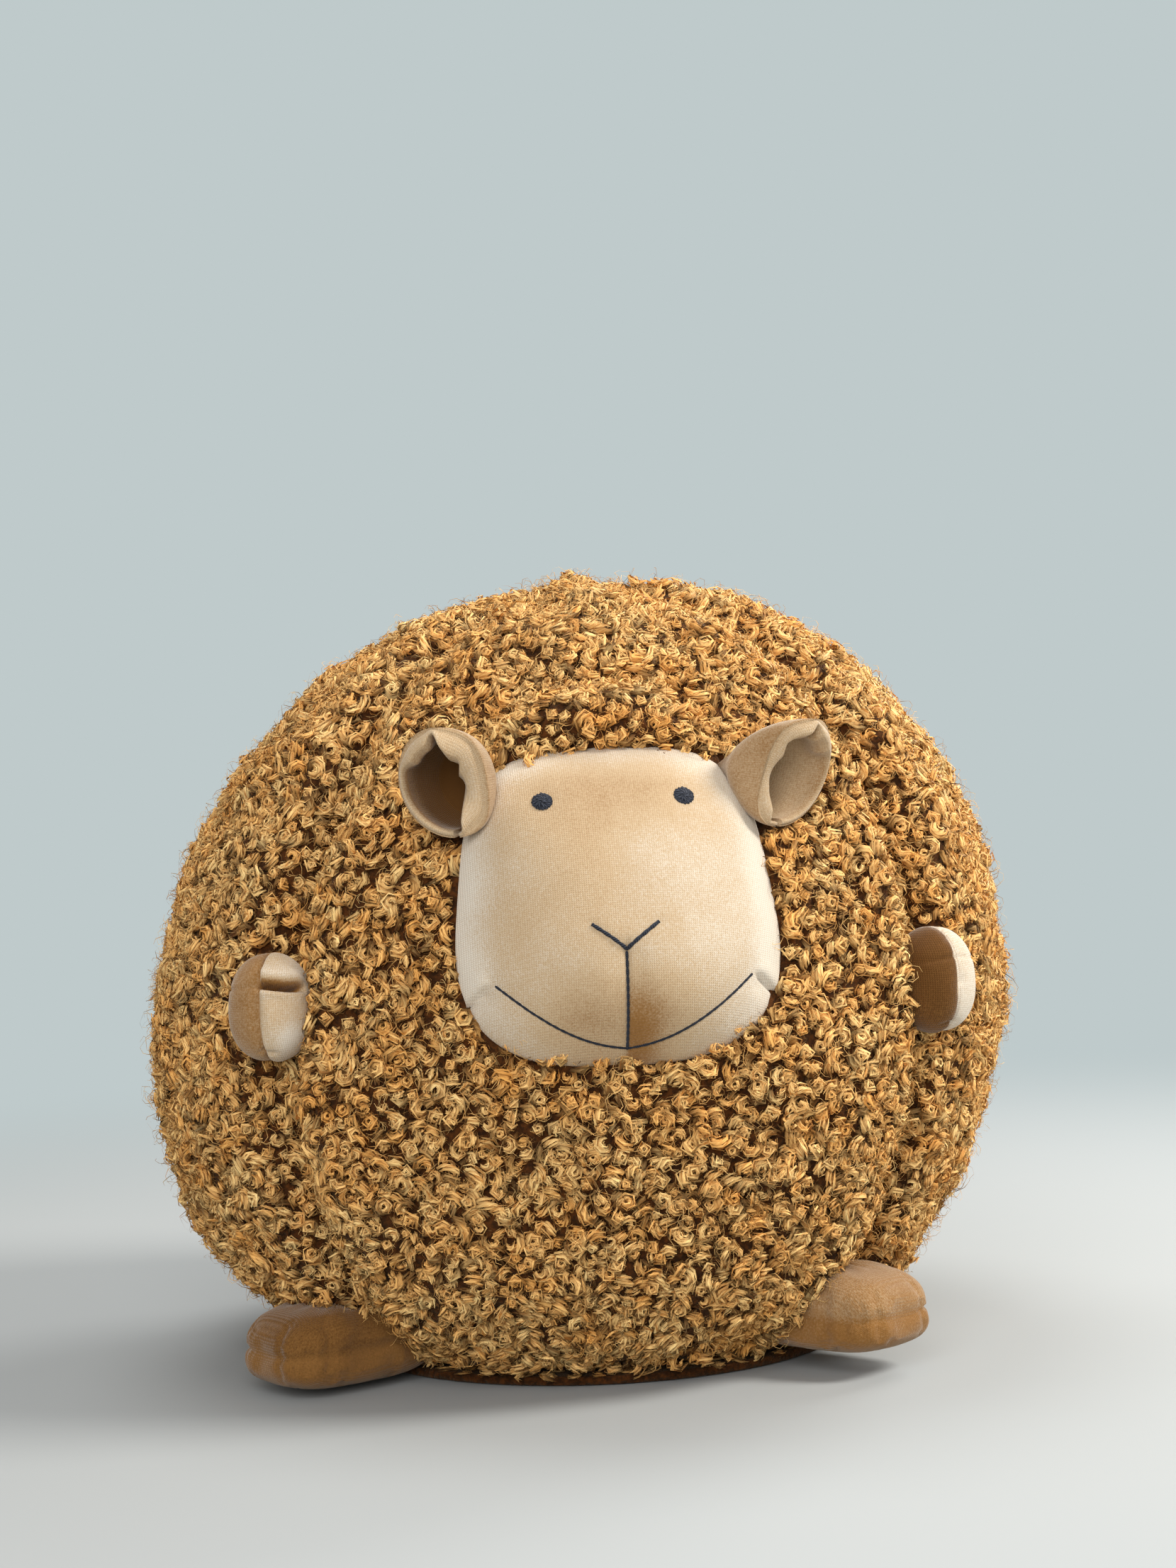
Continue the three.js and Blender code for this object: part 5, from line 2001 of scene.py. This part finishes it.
    def _profile(self, side: Side, turn: np.ndarray) -> np.ndarray:
        """The cloth from the root, over the rim and back into the cup, row by row.

        Args:
            side: which ear.
            turn: radians from the top.

        Returns:
            A grid of places.
        """
        up = np.linspace(0.0, 1.0, self.wall_rows)[:, None]
        outer = self._wall(side, turn[None, :], up, 0.0)
        rim = outer[-1]
        mouth = rim * np.stack([self._opening(side, turn, rim)] * 2 + [np.ones_like(turn)], -1)
        along = np.linspace(0.0, 1.0, self.lip_rows)[1:, None]
        beyond = (along - self.seam_at) / (1.0 - self.seam_at)
        roll = np.sin(math.pi * np.clip(beyond, 0.0, 1.0)) ** 0.75
        seam = bell(along - self.seam_at, 0.05)
        edge = bell(along - 0.03, 0.03)
        lip = mix(rim[None], mouth[None], (along ** 0.8)[..., None])
        width = np.linalg.norm(rim - mouth, axis=-1)[None, :]
        lift = np.minimum(0.32 * width, self.roll_rise) * roll + self.edge_rise * edge - self.seam_dip * seam
        sag = self.lip_sag * smoothstep(along, 0.7, 1.0) * np.minimum(1.0, width / (6.0 * MM))
        lip[..., 2] += lift - sag
        back = np.linspace(1.0, self.lining_depth, self.wall_rows)[:, None]
        inner = self._wall(side, turn[None, :], back, self.thick)
        settle = smoothstep(1.0 - back, 0.02, 0.35)[..., None]
        behind = mouth[None] * np.array([1.0, 1.0, 0.0]) + inner * np.array([0.0, 0.0, 1.0])
        inside = mix(behind, inner, settle)
        inside[..., 2] -= self.lining_drop
        return np.concatenate([outer, lip, inside[1:]])

    def _ear(self, side: Side) -> None:
        """One ear as a closed form.

        Args:
            side: which ear.
        """
        half = math.radians(180.0 - self.slit)
        turn = np.linspace(-half, half, self.columns)
        grid = self._profile(side, turn)
        rows, columns = grid.shape[:2]
        ends = np.array([[0.0, 0.0, -self.stem], [0.0, 0.0, grid[-1, :, 2].mean() - 0.5 * MM]])
        points = np.concatenate([grid.reshape(-1, 3), ends])
        faces: list[tuple[int, ...]] = [face[::-1] for face in grid_faces(rows, columns)]
        first, last, top = rows * columns, rows * columns + 1, (rows - 1) * columns
        for column in range(columns - 1):
            faces.append((first, column, column + 1))
            faces.append((last, top + column + 1, top + column))
        caps = len(faces)
        for column, step in ((0, -1), (columns - 1, 1)):
            faces.append(tuple([first, *range(column, rows * columns, columns), last])[::step])
        world = points @ self._axes(side) + self.root(side)
        piece = mesh_piece(f"{side.word}_ear_cup", world, faces, self.wardrobe.velvet)
        for face in piece.data.polygons[caps:]:
            face.use_smooth = False
        run = np.concatenate([[0.0], np.cumsum(np.linalg.norm(np.diff(grid, axis=0), axis=-1).mean(1))])
        around = turn[None, :] * self.half_width
        spread = np.stack(np.broadcast_arrays(around, run[:, None]), -1).reshape(-1, 2)
        point_map(piece, "ClothUV", np.concatenate([spread, [[0.0, 0.0], [0.0, run[-1]]]]) / CLOTH_TILE)
        # Painted shade deep in the cup (painted light there on the ear whose shadows value is negative), and
        # a painted highlight along the rolled lip.
        deep, lip = np.zeros(rows), np.zeros(rows)
        lining = self.wall_rows + self.lip_rows - 1
        deep[lining:] = np.linspace(0.3, 1.0, self.wall_rows - 1)
        lip[self.wall_rows:lining] = np.sin(np.linspace(0.2, 1.0, self.lip_rows - 1) * math.pi)
        nap = np.repeat(0.26 + 0.3 * lip - self.shadows[side] * deep, columns)
        point_values(piece, "nap", np.concatenate([nap, [0.2, -0.3]]))
        deliver(piece, f"{side.word}_ear", [f"{side.word}_ear_outer", f"{side.word}_ear_lining"])


# hands and feet


@dataclass
class Pad:
    """A stuffed hand or foot, sewn from two halves: the higher its fullness, the squarer it is."""

    depth: float
    width: float
    height: float
    taper: float
    plan_fullness: float
    side_fullness: float
    sides: int = 128
    rings: int = 96

    def places(self) -> np.ndarray:
        """The pad's points from bottom to top, out along X.

        Returns:
            One place per row.
        """
        power = lambda v, fullness: np.sign(v) * np.abs(v) ** (2.0 / fullness)
        slope = np.linspace(-0.5, 0.5, self.rings + 1)[1:-1, None] * math.pi
        turn = math.tau * np.arange(self.sides)[None, :] / self.sides
        rise = power(np.sin(slope), self.side_fullness)
        spread = power(np.cos(slope), self.side_fullness) * (1.0 - self.taper * rise)
        grid = [self.depth / 2 * spread * power(np.cos(turn), self.plan_fullness),
                self.width / 2 * spread * power(np.sin(turn), self.plan_fullness),
                self.height / 2 * rise * np.ones_like(turn)]
        ends = [[0.0, 0.0, -self.height / 2], [0.0, 0.0, self.height / 2]]
        return np.concatenate([np.stack(grid, -1).reshape(-1, 3), np.array(ends)])

    def faces(self) -> list[tuple[int, ...]]:
        """Faces over those points, closed at both ends.

        Returns:
            The corners of each face.
        """
        rows = self.rings - 1
        faces: list[tuple[int, ...]] = list(grid_faces(rows, self.sides, True))
        bottom, top, last = rows * self.sides, rows * self.sides + 1, (rows - 1) * self.sides
        for side in range(self.sides):
            following = (side + 1) % self.sides
            faces.append((bottom, following, side))
            faces.append((top, last + side, last + following))
        return faces


@dataclass
class Limbs:
    """Hands that hang in the front seams and feet that stick out under them."""

    wardrobe: Wardrobe
    foot_height: float = 34 * MM
    foot_length: float = 72 * MM
    hand_ups: dict[Side, float] = by_side(151.5 * MM, 153.5 * MM)
    hand_reaches: dict[Side, float] = by_side(10.5 * MM, 16.5 * MM)
    seam_turns: dict[Side, float] = by_side(18.0, 30.0)
    crease_depths: dict[Side, float] = by_side(0.1, 1.0)
    foot_azimuths: dict[Side, float] = by_side(43.5, -57.0)
    foot_lifts: dict[Side, float] = by_side(6.5 * MM, 0.5 * MM)
    foot_reaches: dict[Side, float] = by_side(29 * MM, 41 * MM)
    # Painted light and shade of each foot's lower and upper half.
    foot_soles: dict[Side, float] = by_side(0.0, -0.1)
    foot_uppers: dict[Side, float] = by_side(0.16, -0.2)
    crease_up: float = 9.5 * MM
    crease_bow: float = 2.4 * MM
    pocket_end: tuple[float, float] = (62.0, 88.0)
    pocket_dark: float = 1.3
    sewn_hand: float = -6.0 * MM
    sewn_foot: float = -14.0 * MM
    hand_seam: Groove = Groove(1.3 * MM, 0.6 * MM)
    hand_valley: Groove = Groove(0.5 * MM, 3.0 * MM)
    pocket_crease: Groove = Groove(5.0 * MM, 1.1 * MM)
    pocket_lip: Groove = Groove(1.8 * MM, 2.4 * MM)
    pocket_sill: Groove = Groove(0.8 * MM, 1.4 * MM)
    back_crease: Groove = Groove(0.5 * MM, 0.6 * MM)
    foot_seam: Groove = Groove(1.5 * MM, 0.7 * MM)
    foot_valley: Groove = Groove(0.8 * MM, 4.0 * MM)
    foot_edge: Groove = Groove(0.5 * MM, 0.8 * MM)
    furthest: float = 1.2 * MM

    def build(self) -> None:
        """Makes both hands and both feet."""
        for side in Side:
            self._hand(side)
            self._foot(side)

    @staticmethod
    def _world(points: np.ndarray, azimuth: float, out: float, up: float) -> np.ndarray:
        """Points around a place beside the ball, as places in the frame.

        Args:
            points: places around the limb's own middle.
            azimuth: its direction from the front.
            out: its distance from the upright axis.
            up: its height.

        Returns:
            One place for each.
        """
        azimuth = math.radians(azimuth)
        ahead = np.array([math.sin(azimuth), -math.cos(azimuth), 0.0])
        aside = np.array([math.cos(azimuth), math.sin(azimuth), 0.0])
        axes = np.stack([ahead, aside, [0.0, 0.0, 1.0]])
        return points @ axes + ahead * out + np.array([0.0, 0.0, up])

    def _hand(self, side: Side) -> None:
        """One hand, with its upright seam and the crease where it hangs.

        Args:
            side: which hand.
        """
        pad = Pad(depth=31 * MM, width=29 * MM, height=40 * MM, taper=0.04, plan_fullness=2.4,
                  side_fullness=2.3)
        points = pad.places()
        x, y, z = points.T
        angle = np.degrees(np.arctan2(-side.value * y, x)) - self.seam_turns[side]
        angle = (angle + 180.0) % 360.0 - 180.0
        arc = np.radians(angle) * np.hypot(x, y)
        ahead = smoothstep(-np.abs(angle), -110.0, -80.0)
        facing = smoothstep(arc, -0.2 * MM, 0.8 * MM)
        deep = ahead * (self.hand_seam.at(arc) + self.hand_valley.at(arc))
        deep = deep - ahead * 0.7 * MM * facing * bell(arc, 6.0 * MM)
        below = z - self.crease_up + self.crease_bow * np.sin(np.radians(np.clip(np.abs(angle), 0.0, 90.0)))
        pocket = facing * (1.0 - smoothstep(angle, *self.pocket_end)) * self.crease_depths[side]
        deep = deep + pocket * (self.pocket_crease.at(below) - self.pocket_lip.at(below - 3.8 * MM)
                                - self.pocket_sill.at(below + 2.6 * MM))
        deep = deep + ahead * (1.0 - facing) * self.back_crease.at(below)
        deep = deep + ahead * 1.0 * MM * bell(z + 16.0 * MM, 1.0 * MM) * bell(arc - 1.5 * MM, 3.0 * MM)
        inward = points / np.linalg.norm(points, axis=1, keepdims=True)
        held = np.clip(ahead * bell(arc, 0.9 * MM) + pocket * bell(below, 2.0 * MM), 0.0, 1.0)
        name = f"{side.word}_hand"
        out = BALL.radius + self.hand_reaches[side] - pad.depth / 2
        points = points - inward * deep[:, None]
        world = self._world(points, side.value * BALL.front_seam, out, self.hand_ups[side])
        piece = mesh_piece(f"{name}_pad", world, pad.faces(), self.wardrobe.velvet)
        Swelling(furthest=self.furthest).apply(piece, np.maximum(held, x < self.sewn_hand))
        point_map(piece, "ClothUV", np.stack([arc, z], -1) / CLOTH_TILE)
        # Painted shade in the pocket under the crease.
        dark = pocket * bell(below - 0.6 * MM, 1.5 * MM)
        point_values(piece, "nap", self._hand_nap(side, facing, angle, z, dark))
        deliver(piece, name, [f"{name}_{part}" for part in ("front", "back", "fill")])

    def _hand_nap(self, side: Side, facing: np.ndarray, angle: np.ndarray, z: np.ndarray,
                  pocket: np.ndarray) -> np.ndarray:
        """How a hand's velvet is brushed, half by half, and dark in the pocket of its crease.

        Args:
            side: which hand.
            facing: 0 on one side of the seam, 1 on the other.
            angle: degrees round the hand.
            z: height above its middle.
            pocket: how deep in the pocket, from 0 to 1.

        Returns:
            One value of painted light and shade for each place.
        """
        if side is Side.LEFT:
            return mix(0.85, -0.4, facing)
        bright = 0.5 * bell(angle - 45.0, 25.0) * bell(z + 11.0 * MM, 6.0 * MM)
        bright = bright + 0.25 * bell(z - 11.0 * MM, 6.0 * MM)
        return mix(0.1, 0.55 + bright, facing) - self.pocket_dark * pocket

    def _foot(self, side: Side) -> None:
        """One foot, with its level seam and the puckers along it.

        Args:
            side: which foot.
        """
        pad = Pad(depth=self.foot_length - 2.0 * MM, width=49 * MM, height=self.foot_height - 3.0 * MM,
                  taper=0.06, plan_fullness=3.8, side_fullness=2.9)
        points = pad.places()
        x, y, z = points.T
        turn = np.arctan2(y / pad.width, x / pad.depth)
        deep = self.foot_seam.at(z + 0.3 * MM) + self.foot_valley.at(z) - self.foot_edge.at(z - 1.2 * MM)
        pucker = np.sin(turn * 19.0) + 0.7 * np.sin(turn * 31.0 + 1.0)
        deep = deep + 0.3 * MM * pucker * bell(np.abs(z) - 3.0 * MM, 4.0 * MM)
        wrinkle = np.sin(turn * 9.0 + 0.6) * smoothstep(z, 2.0 * MM, 9.0 * MM)
        wrinkle = wrinkle * (1.0 - smoothstep(x, 4.0 * MM, 26.0 * MM))
        deep = deep + 0.9 * MM * wrinkle
        inward = points / np.linalg.norm(points, axis=1, keepdims=True)
        points = points - inward * deep[:, None]
        middle = self.foot_lifts[side] + self.foot_height / 2.0
        points[:, 2] = np.maximum(points[:, 2], 0.3 * MM - middle)
        skin = math.sqrt(BALL.radius**2 - (BALL.height - middle) ** 2)
        out = skin + self.foot_reaches[side] - pad.depth / 2
        name = f"{side.word}_foot"
        world = self._world(points, self.foot_azimuths[side], out, middle)
        piece = mesh_piece(f"{name}_pad", world, pad.faces(), self.wardrobe.velvet)
        held = np.clip(bell(z, 1.2 * MM) + (x < self.sewn_foot) + (z < -0.44 * pad.height), 0.0, 1.0)
        Swelling(furthest=self.furthest).apply(piece, held)
        point_map(piece, "ClothUV", np.stack([y, x + z], -1) / CLOTH_TILE)
        # The upper and the lower half get painted light and shade of their own.
        upper = smoothstep(z, -0.4 * MM, 0.4 * MM)
        point_values(piece, "nap", mix(self.foot_soles[side], self.foot_uppers[side], upper))
        deliver(piece, name, [f"{name}_{part}" for part in ("upper", "sole", "fill")])


# studio


@dataclass(frozen=True)
class Lamp:
    """A soft lamp that looks at the toy."""

    name: str
    place: tuple[float, float, float]
    size: float
    power: float
    colour: Colour = (1.0, 1.0, 1.0)

    def build(self, aim: Vector) -> None:
        """Sets up the lamp.

        Args:
            aim: the place that it lights.
        """
        light = bpy.data.lights.new(self.name, "AREA")
        light.shape = "DISK"
        light.size = self.size
        light.energy = self.power
        light.color = self.colour
        lamp = bpy.data.objects.new(self.name, light)
        lamp.location = self.place
        lamp.rotation_euler = (aim - Vector(self.place)).to_track_quat("-Z", "Y").to_euler()
        bpy.context.scene.collection.objects.link(lamp)


@dataclass
class Studio:
    """Pale floor, soft light and the camera at the photograph's angle."""

    backdrop: Colour = paint(191, 202, 203)
    floor: Colour = paint(168, 171, 170)
    ambient: float = 0.38
    azimuth: float = -4.8
    distance: float = 1242.8 * MM
    eye_height: float = 246 * MM
    sideways: float = 4.2 * MM
    pitch: float = -0.72
    roll: float = -2.4
    lens: float = 68.3
    lamps: tuple[Lamp, ...] = (
        Lamp("key", (1.25, -0.5, 1.2), 0.6, 30.0, (1.0, 0.97, 0.93)),
        Lamp("rim", (1.0, 0.9, 0.9), 0.7, 14.0),
        Lamp("fill", (-0.4, -1.7, 0.8), 1.2, 23.0, (0.98, 0.98, 1.0)),
        Lamp("top", (-0.2, 0.3, 1.7), 0.9, 11.0),
    )

    def build(self) -> None:
        """Sets up floor, world, lamps and camera."""
        bpy.context.scene.view_settings.view_transform = "Standard"
        self._world()
        self._floor()
        for lamp in self.lamps:
            lamp.build(Vector((0.0, 0.0, BALL.height)))
        self._camera()

    def _world(self) -> None:
        """Even light all round, and the backdrop's colour for the camera."""
        world = bpy.data.worlds.new("studio")
        world.use_nodes = True
        bpy.context.scene.world = world
        graph = Graph(world.node_tree)
        world.node_tree.nodes.clear()
        seen = graph.add("ShaderNodeLightPath").outputs["Is Camera Ray"]
        light = graph.add("ShaderNodeBackground", None, Color=(1.0, 1.0, 1.0), Strength=self.ambient)
        shown = graph.add("ShaderNodeBackground", None, Color=self.backdrop, Strength=1.0)
        both = graph.shaders(seen, light, shown)
        graph.add("ShaderNodeOutputWorld", None, Surface=both)

    def _floor(self) -> None:
        """A wide floor that melts into the backdrop far from the toy."""
        reach = 12.0
        corners = np.array([[-reach, -reach, 0], [reach, -reach, 0], [reach, reach, 0], [-reach, reach, 0]])
        graph = ClothGraph("studio_floor")
        where = graph.place()
        far = graph.wire(graph.add("ShaderNodeVectorMath", {"operation": "LENGTH"}, Vector=where), "Value")
        seen = graph.wire(graph.add("ShaderNodeLightPath"), "Is Camera Ray")
        matt = graph.add("ShaderNodeBsdfDiffuse", None, Color=self.floor)
        glow = graph.add("ShaderNodeEmission", None, Color=self.backdrop, Strength=1.0)
        both = graph.shaders(far.eased(0.35, 1.1) * seen, matt, glow)
        graph.add("ShaderNodeOutputMaterial", None, Surface=both)
        floor = mesh_piece("studio_floor", corners, [(0, 1, 2, 3)], graph.material)

    def _camera(self) -> None:
        """The camera, with the toy where the photograph has it."""
        data = bpy.data.cameras.new("camera")
        data.sensor_width = 36.0
        data.lens = self.lens
        data.clip_start, data.clip_end = 0.05, 50.0
        camera = bpy.data.objects.new("camera", data)
        turn, pitch, roll = (math.radians(angle) for angle in (self.azimuth, self.pitch, self.roll))
        right = Vector((math.cos(turn), math.sin(turn), 0.0))
        back = Vector((math.sin(turn), -math.cos(turn), 0.0))
        camera.location = back * self.distance + right * self.sideways + Vector((0.0, 0.0, self.eye_height))
        turned = Matrix.Rotation(turn, 3, "Z") @ Matrix.Rotation(math.pi / 2.0 + pitch, 3, "X")
        camera.rotation_euler = (turned @ Matrix.Rotation(roll, 3, "Z")).to_euler()
        bpy.context.scene.collection.objects.link(camera)
        bpy.context.scene.camera = camera


# the toy


def main() -> None:
    """Builds the studio and the toy, piece by piece."""
    logging.basicConfig(level=logging.INFO, format="%(name)s %(message)s", stream=sys.stdout)
    Studio().build()
    wardrobe = Wardrobe()
    ears = EarPair(wardrobe)
    Coat(wardrobe, ears).build()
    Face(wardrobe).build()
    ears.build()
    Limbs(wardrobe).build()


if __name__ == "__main__":
    main()
